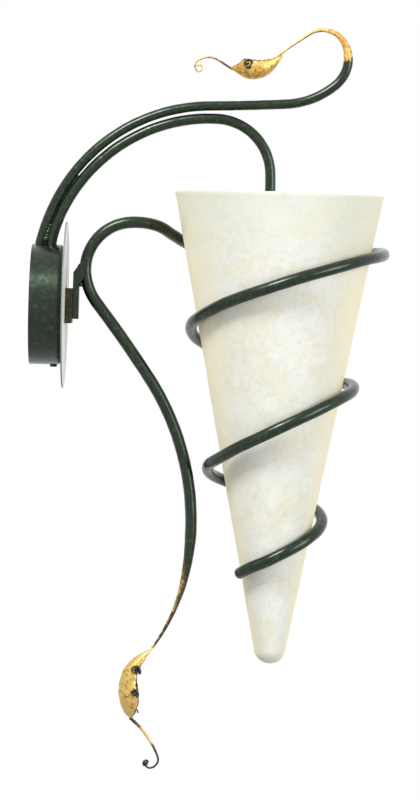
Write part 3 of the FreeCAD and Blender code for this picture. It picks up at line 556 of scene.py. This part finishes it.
class Line:
    """A centreline in the plane y = 0 from a point and a heading, made of bends."""

    def __init__(self, x, z, heading, pace=usual_pace):
        self.x = x
        self.z = z
        self.pace = pace
        self.heading = math.radians(heading)
        self.length = 0.0
        self.points = [(0.0, Vector((x, 0.0, z)))]

    def straight(self, length):
        return self.run(length, 0.0)

    def bends(self, steps):
        """Bends of (radius, turn in degrees); left is positive."""
        for radius, turn in steps:
            self.run(radius * math.radians(abs(turn)), math.copysign(1.0 / radius, turn))
        return self

    def centres(self):
        return [point for _, point in self.points]

    def along(self, table, start=0.0):
        """A table's value at each point, with its distances counted from start."""
        return [from_table(table, distance - start) for distance, _ in self.points]

    def run(self, length, curvature):
        count = max(1, math.ceil(length / self.pace))
        step = length / count
        for _ in range(count):
            middle = self.heading + curvature * step / 2
            chord = step
            if curvature:
                chord = 2.0 / abs(curvature) * math.sin(abs(curvature) * step / 2)
            self.x += chord * math.cos(middle)
            self.z += chord * math.sin(middle)
            self.heading += curvature * step
            self.length += step
            self.points.append((self.length, Vector((self.x, 0.0, self.z))))
        return self


def from_table(table, distance):
    """The value at a distance, between those of a table of (distance, value)."""
    for (low, first), (high, second) in zip(table, table[1:]):
        if distance <= high:
            return first + (second - first) * max(0.0, distance - low) / (high - low)
    return table[-1][1]


def line_mesh(name, points, radii, gilding=None):
    """An open line of points in metres, each with the bar's radius and its share of gold."""
    mesh = bpy.data.meshes.new(name)
    edges = [(k, k + 1) for k in range(len(points) - 1)]
    mesh.from_pydata([point * MM for point in points], edges, [])
    store(mesh, "radius_here", [radius * MM for radius in radii])
    store(mesh, "gilding", gilding or [0.0] * len(points))
    return mesh


def store(mesh, name, values):
    mesh.attributes.new(name, "FLOAT", "POINT").data.foreach_set("value", values)


def rounded_end(radii, distances, from_end):
    """The radii with the bar's last millimetres rounded over."""
    rounded = []
    for radius, distance in zip(radii, distances):
        left = min(1.0, (distances[-1] - distance) / from_end)
        rounded.append(radius * math.sqrt(max(0.02, 1.0 - (1.0 - left) ** 2)))
    return rounded


def bar(name, points, radii, gilding=None, finish="dark_iron", sides=24, hammer=0.16, patch=11.0,
        painted_shading=0.0, seed=1.0):
    """A forged bar in millimetres along a line."""
    return grown(name, line_mesh(name, points, radii, gilding), FORGED_BAR, Sides=sides,
                 Hammer_depth=hammer * MM, Patch_size=patch * MM, Rubbing=painted_shading, Seed=seed,
                 Finish=FINISHES[finish])


# ---- Arms ----

block_top = 50.0  # where both arms begin
bar_root_x = 6.65
bar_root_straight = 3.34
bar_bends = [
    (41.4, -13.0), (194.2, -15.5), (173.7, -59.7), (1893.2, 2.3), (83.5, 37.1), (33.9, 48.8),
]
tube_root_x = 18.5
tube_root_straight = 6.78
tube_end_straight = 18.0
tube_bends = [
    (43.0, -12.5), (137.1, -12.2), (165.9, -48.9), (152.5, -19.0), (55.2, -84.3), (300.1, -3.1),
]
finial_bends = [(33.9, 26.7), (24.4, 96.1), (333.3, 7.0)]
finial_stem_bend = (15.0, 30.0)
finial_stem_straight = 7.0
finial_taper = [
    (0.0, 9.6), (8.0, 8.4), (22.0, 6.2), (38.0, 4.3), (51.0, 3.2), (66.0, 2.6), (98.0, 1.9),
]
finial_gilding = [(0.0, 0.6), (6.0, 0.72), (40.0, 0.66), (62.0, 0.5), (98.0, 0.42)]
arm_gilding = [(0.0, 0.5), (2.0, 0.25), (4.0, -0.2), (8.0, -1.0)]  # from its end
seam_heights = (61.5, 132.0)
seam_radius = 1.5
weld_heights = (62.0, 80.0)
weld_radius = 3.7
weld_side = 1.7  # of a run's centre, in front of the arms' plane or behind it
drop_step = 0.8  # between a weld's drops, in drop radii


def upper_arm():
    line = Line(bar_root_x, block_top, 90.0).straight(bar_root_straight).bends(bar_bends)
    points = line.centres()
    gilding = [from_table(arm_gilding, line.length - distance) for distance, _ in line.points]
    piece = bar("upper_arm_bar", points, [bar_radius] * len(points), gilding, "gold_leaf",
                sides=32, painted_shading=0.25, seed=2.0)
    fitted(piece, "upper_arm")
    return line


def upper_finial(arm):
    """The gilded end of the arm: a thinning hook, then a fine stem into the leaf."""
    line = Line(arm.x, arm.z, math.degrees(arm.heading)).bends(finial_bends)
    leaf_origin = Vector((line.x, 0.0, line.z))
    line.bends([finial_stem_bend]).straight(finial_stem_straight)
    radii = [thickness / 2 for thickness in line.along(finial_taper)]
    piece = bar("gilded_hook", line.centres(), radii, line.along(finial_gilding), "gold_leaf",
                sides=28, hammer=0.3, patch=6.0, painted_shading=0.46, seed=3.0)
    fitted(piece, "upper_finial")
    return leaf_origin


def lamp_arm():
    line = Line(tube_root_x, block_top, 90.0).straight(tube_root_straight)
    points = line.bends(tube_bends).straight(tube_end_straight).centres()
    piece = bar("lamp_arm_tube", points, [tube_radius] * len(points), sides=32, seed=4.0)
    fitted(piece, "lamp_arm")
    return line


def weld(name, points, radius, seed, body):
    """A run of weld along points in millimetres."""
    line = line_mesh(name, points, [radius] * len(points))
    piece = grown(name, line, WELD_BEAD, Drop_radius=radius * MM, Seed=seed,
                  Drop_spacing=radius * drop_step * MM, Finish=FINISHES["dark_iron"])
    added(piece, body)


def seam_between(bar_line, tube_line, lowest, highest):
    """Points midway between the faces of the two arms, between two heights."""
    seam = []
    tube_points = tube_line.centres()
    for point in bar_line.centres():
        if lowest < point.z < highest:
            near = min(tube_points, key=lambda other: (other - point).length)
            across = near - point
            gap = across.length - bar_radius - tube_radius
            seam.append(point + across.normalized() * (bar_radius + gap / 2))
    return seam


def arm_welds(bar_line, tube_line):
    """A fine seam where the arms touch, and heavier runs on both sides just above the cup."""
    seam = seam_between(bar_line, tube_line, *seam_heights)
    weld("arm_seam", seam, seam_radius, 41, "wall_unit")
    run = seam_between(bar_line, tube_line, *weld_heights)
    for label, side in (("front", -weld_side), ("back", weld_side)):
        points = [point + ACROSS * side for point in run]
        weld("arm_weld_" + label, points, weld_radius, 42, "wall_unit")


# ---- Spiral and scroll ----

steps_per_turn = 8
spiral_steps = [
    (58.1, 6.2), (68.0, 5.0), (91.0, 2.8), (116.2, 0.8), (138.0, 1.6), (159.0, 2.1), (174.5, 2.8),
    (186.0, 4.2), (192.4, 5.0), (208.0, 4.2), (234.0, 5.2), (259.3, 6.5), (276.8, 8.9),
    (292.0, 7.8), (303.5, 5.5), (313.8, 4.7), (328.6, 2.4), (345.2, 0.9), (362.6, 0.4),
    (376.2, 1.2),
]
spiral_end_angle = 870.0
spiral_end_step = (380.0, 1.2)
back_steps = [(57.6, 5.2), (59.2, 4.6), (58.0, 3.9)]
leave_angle = 150.0
leave_depth = 52.8
leave_gap = 3.6
leave_slope = 0.26
scroll_bends = [(47.5, 95.5), (58.2, 28.3), (1217.0, -4.3), (262.7, -35.7)]
scroll_taper_bends = [(262.7, -9.8), (184.7, -23.3)]
scroll_taper = [
    (0.0, 11.8), (8.0, 11.3), (29.0, 9.2), (50.0, 7.2), (71.0, 4.9), (93.0, 3.5), (120.1, 2.6),
]
scroll_gilding = [
    (0.0, -1.2), (12.0, -0.5), (28.0, 0.0), (52.0, 0.32), (76.0, 0.28), (105.0, 0.12),
    (120.1, 0.25),
]
joint_depth = 2.4  # that a stem runs on inside its leaf
rod_end_round = 2.2
hanger_weld_places = (("above", 48.8, 38.6, 3.0), ("below", 49.2, 21.4, 2.8))
hanger_weld_run = (-4.5, -2.0, 0.5, 3.0, 4.5)


def axis_x(height):
    """Where the cone's leaning axis passes a height."""
    return cone_x + (rim_height - height) * axis_drift


def cone_radius(height):
    return rim_radius - (rim_height - height) * cone_slope


def wound_point(angle, depth, air):
    """Centre of the rod round the cone at a depth below its rim, with air to the glass."""
    height = rim_height - depth
    radius = cone_radius(height) + (rod_radius + air) / cone_lean
    turn = math.radians(angle)
    return Vector((axis_x(height) + radius * math.cos(turn), radius * math.sin(turn), height))


def out_from_axis(point):
    return Vector((point.x - axis_x(point.z), point.y, 0.0))


def wound_direction(before, point, after):
    """Direction of the rod: round the cone, with the fall and the narrowing of its neighbours."""
    out = out_from_axis(point)
    span = after - before
    level = math.hypot(span.x, span.y)
    narrowing = (out_from_axis(after).length - out_from_axis(before).length) / level
    around = Vector((out.y, -out.x, 0.0)).normalized()
    return (around + out.normalized() * narrowing + Vector((0.0, 0.0, span.z / level))).normalized()


def arc_points(start, direction, end):
    """Points along the arc that leaves start in a direction and ends at end."""
    chord = end - start
    half_turn = direction.angle(chord)
    inward = (chord - direction * chord.dot(direction)).normalized()
    radius = chord.length / (2 * math.sin(half_turn))
    count = max(2, math.ceil(radius * 2 * half_turn / usual_pace))
    points = []
    for k in range(count + 1):
        turn = 2 * half_turn * k / count
        forward = direction * (radius * math.sin(turn))
        points.append(start + forward + inward * (radius * (1 - math.cos(turn))))
    return points


def joined_arcs(start, start_direction, end, end_direction):
    """Two arcs that join two points smoothly."""
    chord = end - start
    both = start_direction + end_direction
    turn = 2 * (1 - start_direction.dot(end_direction))
    along = chord.dot(both)
    reach = (math.sqrt(along ** 2 + turn * chord.dot(chord)) - along) / turn
    middle = (start + start_direction * reach + end - end_direction * reach) * 0.5
    second = arc_points(end, end_direction * -1, middle)
    return arc_points(start, start_direction, middle) + second[-2::-1]


def spiral_line():
    """The rod's centreline from the top of the loop to its lower end."""
    heading = math.radians(loop_top_heading)
    loop_top = Vector((loop_top_x, 0.0, loop_top_height))
    step = 360.0 / steps_per_turn
    knots = [wound_point(step * k, *back_steps[k - 1]) for k in range(len(back_steps), 0, -1)]
    knots += [wound_point(-step * k, *values) for k, values in enumerate(spiral_steps)]
    knots.append(wound_point(-spiral_end_angle, *spiral_end_step))
    leave = wound_point(leave_angle, leave_depth, leave_gap)
    turn = math.radians(leave_angle)
    directions = []
    for k, knot in enumerate(knots):
        before = knots[k - 1] if k else leave
        after = knots[k + 1] if k + 1 < len(knots) else knot * 2 - before
        directions.append(wound_direction(before, knot, after))
    knots = [loop_top, leave] + knots
    directions = [
        Vector((-math.cos(heading), 0.0, -math.sin(heading))),
        Vector((math.sin(turn), -math.cos(turn), -leave_slope)).normalized(),
    ] + directions
    points = [loop_top]
    for k in range(len(knots) - 1):
        points += joined_arcs(knots[k], directions[k], knots[k + 1], directions[k + 1])[1:]
    return points


def distances_along(points):
    distances = [0.0]
    for first, second in zip(points, points[1:]):
        distances.append(distances[-1] + (second - first).length)
    return distances


def spiral_rod():
    points = spiral_line()
    radii = rounded_end([rod_radius] * len(points), distances_along(points), rod_end_round)
    piece = bar("spiral_bar", points, radii, sides=28, hammer=0.18, patch=12.0, seed=5.0)
    fitted(piece, "spiral_rod")


def scroll_rod():
    """Loop and long S, thinning to the stem of the lower leaf."""
    line = Line(loop_top_x, loop_top_height, loop_top_heading).bends(scroll_bends)
    thick_length = line.length
    line.bends(scroll_taper_bends)
    leaf_origin = Vector((line.x, 0.0, line.z))
    line.straight(joint_depth)
    radii = [thickness / 2 for thickness in line.along(scroll_taper, thick_length)]
    gilding = line.along(scroll_gilding, thick_length)
    piece = bar("scroll_bar", line.centres(), radii, gilding, "gold_leaf", sides=28, hammer=0.18,
                patch=12.0, painted_shading=0.34, seed=6.0)
    fitted(piece, "scroll_rod")
    return leaf_origin


def hanger_welds():
    """Welds that hold the hanger's tab to the loop, above and below."""
    for label, x, z, radius in hanger_weld_places:
        points = [Vector((x, y, z)) for y in hanger_weld_run]
        weld("hanger_weld_" + label, points, radius, 43, "cradle")


# ---- Glass ----

cone_rows = 90
tip_rows = 14
lip_rows = 10
cone_sides = 160
pole_radius = 1e-6  # rings under this are one point


def cone_outline(inset):
    """Half outline of the cone from its rim to its tip, drawn in by inset, as (radius, height)."""
    lean = math.radians(cone_half_angle)
    end_radius = tip_radius - inset
    tip_centre = rim_height - (rim_radius - tip_radius / cone_lean) / cone_slope
    rim = rim_radius - inset / cone_lean
    touch = (end_radius * cone_lean, tip_centre - end_radius * math.sin(lean))
    outline = []
    for k in range(cone_rows + 1):
        share = k / cone_rows
        height = rim_height + (touch[1] - rim_height) * share
        outline.append((rim + (touch[0] - rim) * share, height))
    for k in range(1, tip_rows + 1):
        turn = lean + (math.pi / 2 - lean) * k / tip_rows
        outline.append((end_radius * math.cos(turn), tip_centre - end_radius * math.sin(turn)))
    return outline


def lipped(outer, inner):
    """The wall's outline from the inner tip up over the rounded lip and down the outside."""
    middle = (inner[0][0] + outer[0][0]) / 2
    half_wall = (outer[0][0] - inner[0][0]) / 2
    lip = []
    for k in range(lip_rows + 1):
        turn = math.pi * k / lip_rows
        height = rim_height - lip_round * (1 - math.sin(turn))
        lip.append((middle - half_wall * math.cos(turn), height))
    below = rim_height - lip_round
    return [p for p in inner[::-1] if p[1] < below] + lip + [p for p in outer if p[1] < below]


def turned_mesh(name, outline, sides):
    """A wall turned round the cone's leaning axis, closed at the poles."""
    points = []
    faces = []
    rings = []
    for radius, height in outline:
        centre = axis_x(height)
        if radius < pole_radius:
            rings.append([len(points)] * sides)
            points.append(Vector((centre, 0.0, height)) * MM)
            continue
        rings.append(list(range(len(points), len(points) + sides)))
        for k in range(sides):
            turn = 2 * math.pi * k / sides
            x = centre + radius * math.cos(turn)
            points.append(Vector((x, radius * math.sin(turn), height)) * MM)
    for lower, upper in zip(rings, rings[1:]):
        for k in range(sides):
            after = (k + 1) % sides
            corners = [lower[k], lower[after], upper[after], upper[k]]
            faces.append(list(dict.fromkeys(corners)))
    mesh = bpy.data.meshes.new(name)
    mesh.from_pydata(points, [], faces)
    mesh.validate()
    return mesh


def glass_cone():
    outline = lipped(cone_outline(0.0), cone_outline(glass_wall))
    mesh = turned_mesh("cone", outline, cone_sides)
    point_outwards(mesh)
    piece = grown("frosted_cone", mesh, UNEVEN_SKIN, Depth=0.5 * MM, Patch_size=24.0 * MM,
                  Seed=7.0, Finish=FINISHES["frosted_glass"])
    fitted(piece, "glass_cone")


def point_outwards(mesh):
    shell = bmesh.new()
    shell.from_mesh(mesh)
    bmesh.ops.remove_doubles(shell, verts=shell.verts, dist=1e-7)
    bmesh.ops.recalc_face_normals(shell, faces=shell.faces)
    shell.to_mesh(mesh)
    shell.free()


# ---- Leaves and tendrils ----

# From a leaf's stem to its tip: keel x and z, edge x and z, and half width.
upper_leaf_steps = [
    (5.9, 0.6, 5.2, 2.4, 1.3), (-1.5, -11.8, -3.2, -1.6, 6.5),
    (-10.5, -19.8, -11.6, -3.6, 10.0), (-21.5, -23.1, -21.4, -4.4, 11.5),
    (-31.0, -22.0, -31.4, -3.0, 10.0), (-38.6, -17.6, -38.4, -8.0, 6.0),
    (-45.8, -12.8, -45.6, -11.0, 1.3),
]
# Painted shadows on the upper leaf: dark spots as (share, across, size).
upper_painted_shadows = [(0.62, -0.8, 0.11), (0.62, 1.0, 0.08)]
upper_tendril_start = Vector((-46.4, 0.0, -11.9))
upper_tendril_heading = 147.3
upper_tendril_bends = [(300.0, 2.8), (17.4, 71.1), (6.6, 84.0), (3.4, 200.0), (2.3, 110.0)]
upper_tendril_gilding = [(0.0, 0.1), (0.3, 0.45), (1.0, 0.5)]
tail_leaf_steps = [
    (-2.4, -2.4, 0.6, -0.8, 1.3), (-19.8, -12.6, -8.0, -13.0, 6.0),
    (-30.3, -25.4, -14.8, -26.4, 9.0), (-34.1, -40.3, -16.0, -38.6, 10.0),
    (-33.8, -52.4, -13.4, -52.4, 10.0), (-28.6, -66.6, -15.6, -65.4, 6.0),
    (-21.6, -73.6, -19.4, -72.8, 1.3),
]
# Painted shadows of the tail leaf's curled teeth: dark spots as (share, across, size).
tail_painted_shadows = [(0.31, -0.85, 0.08), (0.6, -0.85, 0.07), (0.84, -1.0, 0.05)]
tail_tendril_start = Vector((-20.3, 0.0, -74.3))
tail_tendril_heading = -38.6
tail_tendril_bends = [(89.2, -29.6), (8.6, -109.8), (4.4, -76.3), (1.9, -150.0)]
tail_tendril_gilding = [
    (0.0, -0.2), (0.12, 0.1), (0.22, 0.6), (0.42, 0.5), (0.55, 0.1), (1.0, -0.1),
]
tail_bead = 3.3
# Each of the tail leaf's teeth: name, place, size, first angle in degrees, turns and seed.
tail_teeth = [
    ("tail_tooth_high", (0.31, -0.78), 5.6, 75.0, 0.85, 32.0),
    ("tail_tooth_middle", (0.6, -0.8), 5.0, 40.0, 0.8, 33.0),
    ("tail_tooth_low", (0.84, -0.92), 3.0, 60.0, 0.7, 34.0),
]
tooth_steps = 48
leaf_rows = 96
leaf_columns = 44
leaf_wall = 1.3
rim_thinning = 0.6
vein_depth = 0.6
vein_count = 9


def smooth_between(steps, share):
    """Values on a smooth curve through equally spaced steps."""
    last = len(steps) - 1
    k = min(int(share * last), last - 1)
    t = share * last - k
    near = [steps[min(max(k + shift, 0), last)] for shift in (-1, 0, 1, 2)]
    return [
        0.5 * (2 * b + (c - a) * t + (2 * a - 5 * b + 4 * c - d) * t * t
               + (3 * b - a - 3 * c + d) * t ** 3)
        for a, b, c, d in zip(*near)
    ]


def leaf_point(origin, steps, share, across, sunk):
    """A point of the cupped leaf: share along it, across from -1 to 1, sunk in from its outside."""
    keel_x, keel_z, edge_x, edge_z, half_width = smooth_between(steps, share)
    keel = origin + Vector((keel_x, 0.0, keel_z))
    edge = origin + Vector((edge_x, 0.0, edge_z))
    depth = (edge - keel).length
    up = (edge - keel).normalized()
    radius = (half_width ** 2 + depth ** 2) / (2 * depth)
    widest = math.atan2(half_width, radius - depth)
    turn = widest * across
    inner = max(radius - sunk, 0.2)
    return keel + up * (radius - inner * math.cos(turn)) + ACROSS * (inner * math.sin(turn))


def vein_height(share, across):
    """Ribs of a leaf: a midrib and side veins that run forward from it."""
    side = abs(across)
    midrib = math.exp(-(side / 0.06) ** 2)
    forward = (share + side * 0.16) * vein_count
    vein = (0.5 + 0.5 * math.cos(2 * math.pi * forward)) ** 6
    return 0.55 * midrib + 0.35 * vein * min(1.0, side * 4.0) * (1.0 - side * 0.5)


def rim_raggedness(share, across, seed):
    """How far the rim stands up or is torn down, as a share of the leaf's half girth."""
    spot = Vector((share * 9.0, math.copysign(1.0, across) * 3.0, seed))
    return 0.045 * noise.noise(spot) + 0.03 * noise.noise(spot * 3.1)


def leaf(name, node, origin, steps, seed, painted_shadows):
    """A cupped leaf with ribs and a torn, darkened rim; closed, about a millimetre thick."""
    points = []
    gilding = []
    for thick_side in (0, 1):
        for row in range(leaf_rows + 1):
            share = row / leaf_rows
            taper = min(1.0, 6.0 * min(share, 1.0 - share) + 0.25)
            for column in range(leaf_columns + 1):
                across = 2.0 * column / leaf_columns - 1.0
                side = abs(across)
                reach = across * (1.0 + rim_raggedness(share, across, seed) * side ** 3 * taper)
                wall = (leaf_wall - rim_thinning * side) * taper
                swell = noise.noise(Vector((share * 14.0, across * 3.0, seed + 5.0))) * 0.5 * taper
                rib = vein_height(share, across) * vein_depth * taper
                sunk = swell + rib + wall * thick_side
                points.append(leaf_point(origin, steps, share, reach, max(sunk, 0.0)) * MM)
                gilding.append(leaf_gilding(share, across, painted_shadows, thick_side))
    mesh = bpy.data.meshes.new(name)
    mesh.from_pydata(points, [], leaf_faces())
    mesh.validate()
    store(mesh, "gilding", gilding)
    piece = linked(name, mesh)
    point_outwards(mesh)
    mesh.materials.append(FINISHES["gold_leaf"])
    mesh.shade_smooth()
    fitted(piece, node)


def leaf_faces():
    """Quads of both skins of the leaf and of the edge between them."""
    wide = leaf_columns + 1
    skin = (leaf_rows + 1) * wide
    faces = []
    for row in range(leaf_rows):
        for column in range(leaf_columns):
            a = row * wide + column
            faces.append([a, a + 1, a + wide + 1, a + wide])
            faces.append([skin + a + wide, skin + a + wide + 1, skin + a + 1, skin + a])
    border = [row * wide for row in range(leaf_rows + 1)]
    border += [leaf_rows * wide + column for column in range(1, wide)]
    border += [row * wide + leaf_columns for row in range(leaf_rows - 1, -1, -1)]
    border += [column for column in range(leaf_columns - 1, 0, -1)]
    for k, corner in enumerate(border):
        after = border[(k + 1) % len(border)]
        faces.append([corner, after, skin + after, skin + corner])
    return faces


def leaf_gilding(share, across, painted_shadows, thick_side):
    """Gold over the leaf, worn to dark at its rim and at its ends, with painted shadow round its
    curled teeth.
    """
    side = abs(across)
    gold = 1.0 - max(0.0, side - 0.9) / 0.1 * 0.8
    gold -= max(0.0, 0.04 - min(share, 1.0 - share)) * 8.0
    # Painted shadow: the gold is taken away round each spot, leaving dark iron.
    for spot_share, spot_side, size in painted_shadows:
        near = math.hypot((share - spot_share) / size, (across - spot_side) / (size * 3.0))
        gold -= max(0.0, 1.0 - near) * 1.3
    return max(0.0, min(1.0, gold - 0.12 * thick_side))


def curled_tooth(name, origin, steps, place, size, begin, turns, body, seed):
    """A tooth torn from the rim, drawn out to a wire and coiled against the leaf's outside.

    It begins at an angle in degrees from the way to the leaf's tip; turns are positive towards
    the rim.
    """
    share, across = place
    centre = leaf_point(origin, steps, share, across, 0.0)
    outward = (leaf_point(origin, steps, share, across, -1.0) - centre).normalized()
    along = leaf_point(origin, steps, share + 0.03, across, 0.0) - centre
    along = (along - outward * along.dot(outward)).normalized()
    out = leaf_point(origin, steps, share, across * 1.1, 0.0) - centre
    out = (out - outward * out.dot(outward) - along * out.dot(along)).normalized()
    points = []
    radii = []
    gilding = []
    for k in range(tooth_steps + 1):
        t = k / tooth_steps
        turn = math.radians(begin) + t * turns * 2 * math.pi
        coil = size * (1.1 - 0.86 * t)
        lift = size * (0.02 + 0.24 * t)
        flat = along * (coil * math.cos(turn)) + out * (coil * math.sin(turn))
        points.append(centre + flat + outward * lift)
        radii.append(size * (0.28 - 0.14 * t))
        gilding.append(0.1 + 0.3 * t)
    piece = bar(name, points, radii, gilding, "gold_leaf", sides=14, hammer=0.3, patch=2.5,
                painted_shading=0.3, seed=seed)
    added(piece, body)


def tendril(name, node, start, heading, bends, thick, gilding, seed, bead=0.0):
    """A fine curl that starts inside its leaf, and may end in a hammered bead."""
    turn = math.radians(heading)
    line = Line(start.x - math.cos(turn) * joint_depth, start.z - math.sin(turn) * joint_depth,
                heading, fine_pace).straight(joint_depth).bends(bends)
    distances = [distance for distance, _ in line.points]
    radii = []
    for distance in distances:
        radius = (thick[0] + (thick[1] - thick[0]) * distance / line.length) / 2
        left = line.length - distance
        if left < 2 * bead:
            radius = max(radius, math.sqrt(max(0.0, bead ** 2 - (left - bead) ** 2)))
        radii.append(radius)
    gold = [from_table(gilding, distance / line.length) for distance in distances]
    piece = bar(name, line.centres(), rounded_end(radii, distances, 0.9), gold, "gold_leaf",
                sides=16, hammer=0.2, patch=4.0, painted_shading=0.3, seed=seed)
    fitted(piece, node)


# ---- Build ----

def build_pieces():
    arm = upper_arm()
    upper_origin = upper_finial(arm)
    arm_welds(arm, lamp_arm())
    spiral_rod()
    tail_origin = scroll_rod()
    hanger_welds()
    glass_cone()
    leaf("upper_leaf_sheet", "upper_leaf", upper_origin, upper_leaf_steps, 11.0, upper_painted_shadows)
    leaf("tail_leaf_sheet", "tail_leaf", tail_origin, tail_leaf_steps, 23.0, tail_painted_shadows)
    curled_tooth("upper_tooth", upper_origin, upper_leaf_steps, (0.62, -0.8), 4.2, 165.0, -1.4,
                 "wall_unit", 31.0)
    for name, place, size, begin, turns, seed in tail_teeth:
        curled_tooth(name, tail_origin, tail_leaf_steps, place, size, begin, turns, "cradle", seed)
    tendril("upper_curl", "upper_tendril", upper_origin + upper_tendril_start,
            upper_tendril_heading, upper_tendril_bends, (2.2, 1.5), upper_tendril_gilding, 8.0)
    tendril("tail_curl", "tail_tendril", tail_origin + tail_tendril_start, tail_tendril_heading,
            tail_tendril_bends, (3.2, 1.8), tail_tendril_gilding, 9.0, tail_bead)


def dress_nodes():
    """Gives each node that stays its finish."""
    for name, node in frame["nodes"].items():
        node.data.materials.clear()
        node.data.materials.append(FINISHES[SLOT_OF_NODE[name]])


# ---- Floor, light and camera ----

floor_height = -1.5
floor_reach = 4.0
view_target = Vector((0.1815, 0.0, -0.0911))
view_distance = 4.0
view_elevation = math.radians(1.6)
view_roll = math.radians(1.6)
frame_height = 0.8  # metres that the picture's height spans at the target
sensor_height = 36.0
pure_white = (1.0, 1.0, 1.0, 1.0)
floor_grey = (0.5, 0.5, 0.5, 1.0)
soft_light = 0.36
floor_whiteness = 0.75
key_offset = Vector((-0.9, -1.5, 1.9))
key_size = 0.8
key_power = 50.0
fill_offset = Vector((1.9, -1.5, 0.5))
fill_size = 1.4
fill_power = 26.0


def shown_white(nodes):
    """1 for what the camera, a reflection or glass shows, and 0 for what gives light."""
    rays = nodes.node("ShaderNodeLightPath")
    seen, mirrored, through = [Amount(nodes, rays.outputs[f"Is {kind} Ray"])
                               for kind in ("Camera", "Glossy", "Transmission")]
    return seen.larger(mirrored).larger(through)


def floor():
    corners = [(x * floor_reach, y * floor_reach, floor_height)
               for x, y in ((-1, -1), (1, -1), (1, 1), (-1, 1))]
    mesh = bpy.data.meshes.new("floor")
    mesh.from_pydata(corners, [], [(0, 1, 2, 3)])
    nodes = Finish("pale_floor")
    share = shown_white(nodes) * floor_whiteness
    matt = nodes.amount("ShaderNodeBsdfDiffuse", "BSDF", {"Color": floor_grey})
    white = nodes.amount("ShaderNodeEmission", "Emission", {"Color": pure_white, "Strength": 1.0})
    surface = nodes.amount("ShaderNodeMixShader", "Shader", {0: share, 1: matt, 2: white})
    nodes.node("ShaderNodeOutputMaterial", {"Surface": surface})
    mesh.materials.append(nodes.material)
    linked("floor", mesh)


def white_surroundings():
    """Soft even light, seen as white by the camera, in reflections and through glass."""
    world = bpy.data.worlds.new("studio")
    bpy.context.scene.world = world
    world.use_nodes = True
    world.node_tree.nodes.clear()
    nodes = Nodes(world.node_tree)
    seen = shown_white(nodes)
    soft, white = [nodes.amount("ShaderNodeBackground", "Background",
                                {"Color": pure_white, "Strength": strength})
                   for strength in (soft_light, 1.0)]
    surface = nodes.amount("ShaderNodeMixShader", "Shader", {0: seen, 1: soft, 2: white})
    nodes.node("ShaderNodeOutputWorld", {"Surface": surface})


def softbox(name, place, size, power):
    light = bpy.data.lights.new(name, "AREA")
    light.shape = "DISK"
    light.size = size
    light.energy = power
    lamp = linked(name, light)
    lamp.location = place
    lamp.rotation_euler = (place - view_target).to_track_quat("Z", "Y").to_euler()


def camera():
    data = bpy.data.cameras.new("camera")
    data.sensor_fit = "VERTICAL"
    data.sensor_height = sensor_height
    data.lens = sensor_height * view_distance / frame_height
    seen_from = linked("camera", data)
    level = Vector((1.0, 0.0, 0.0))
    raised = Vector((0.0, math.sin(view_elevation), math.cos(view_elevation)))
    back = Vector((0.0, -math.cos(view_elevation), math.sin(view_elevation)))
    right = level * math.cos(view_roll) + raised * math.sin(view_roll)
    up = raised * math.cos(view_roll) - level * math.sin(view_roll)
    turn = Matrix((right, up, back)).transposed().to_4x4()
    seen_from.matrix_world = Matrix.Translation(view_target + back * view_distance) @ turn
    bpy.context.scene.camera = seen_from


build_pieces()
dress_nodes()
floor()
white_surroundings()
softbox("key_light", view_target + key_offset, key_size, key_power)
softbox("fill_light", view_target + fill_offset, fill_size, fill_power)
camera()
bpy.context.scene.view_settings.view_transform = "Standard"
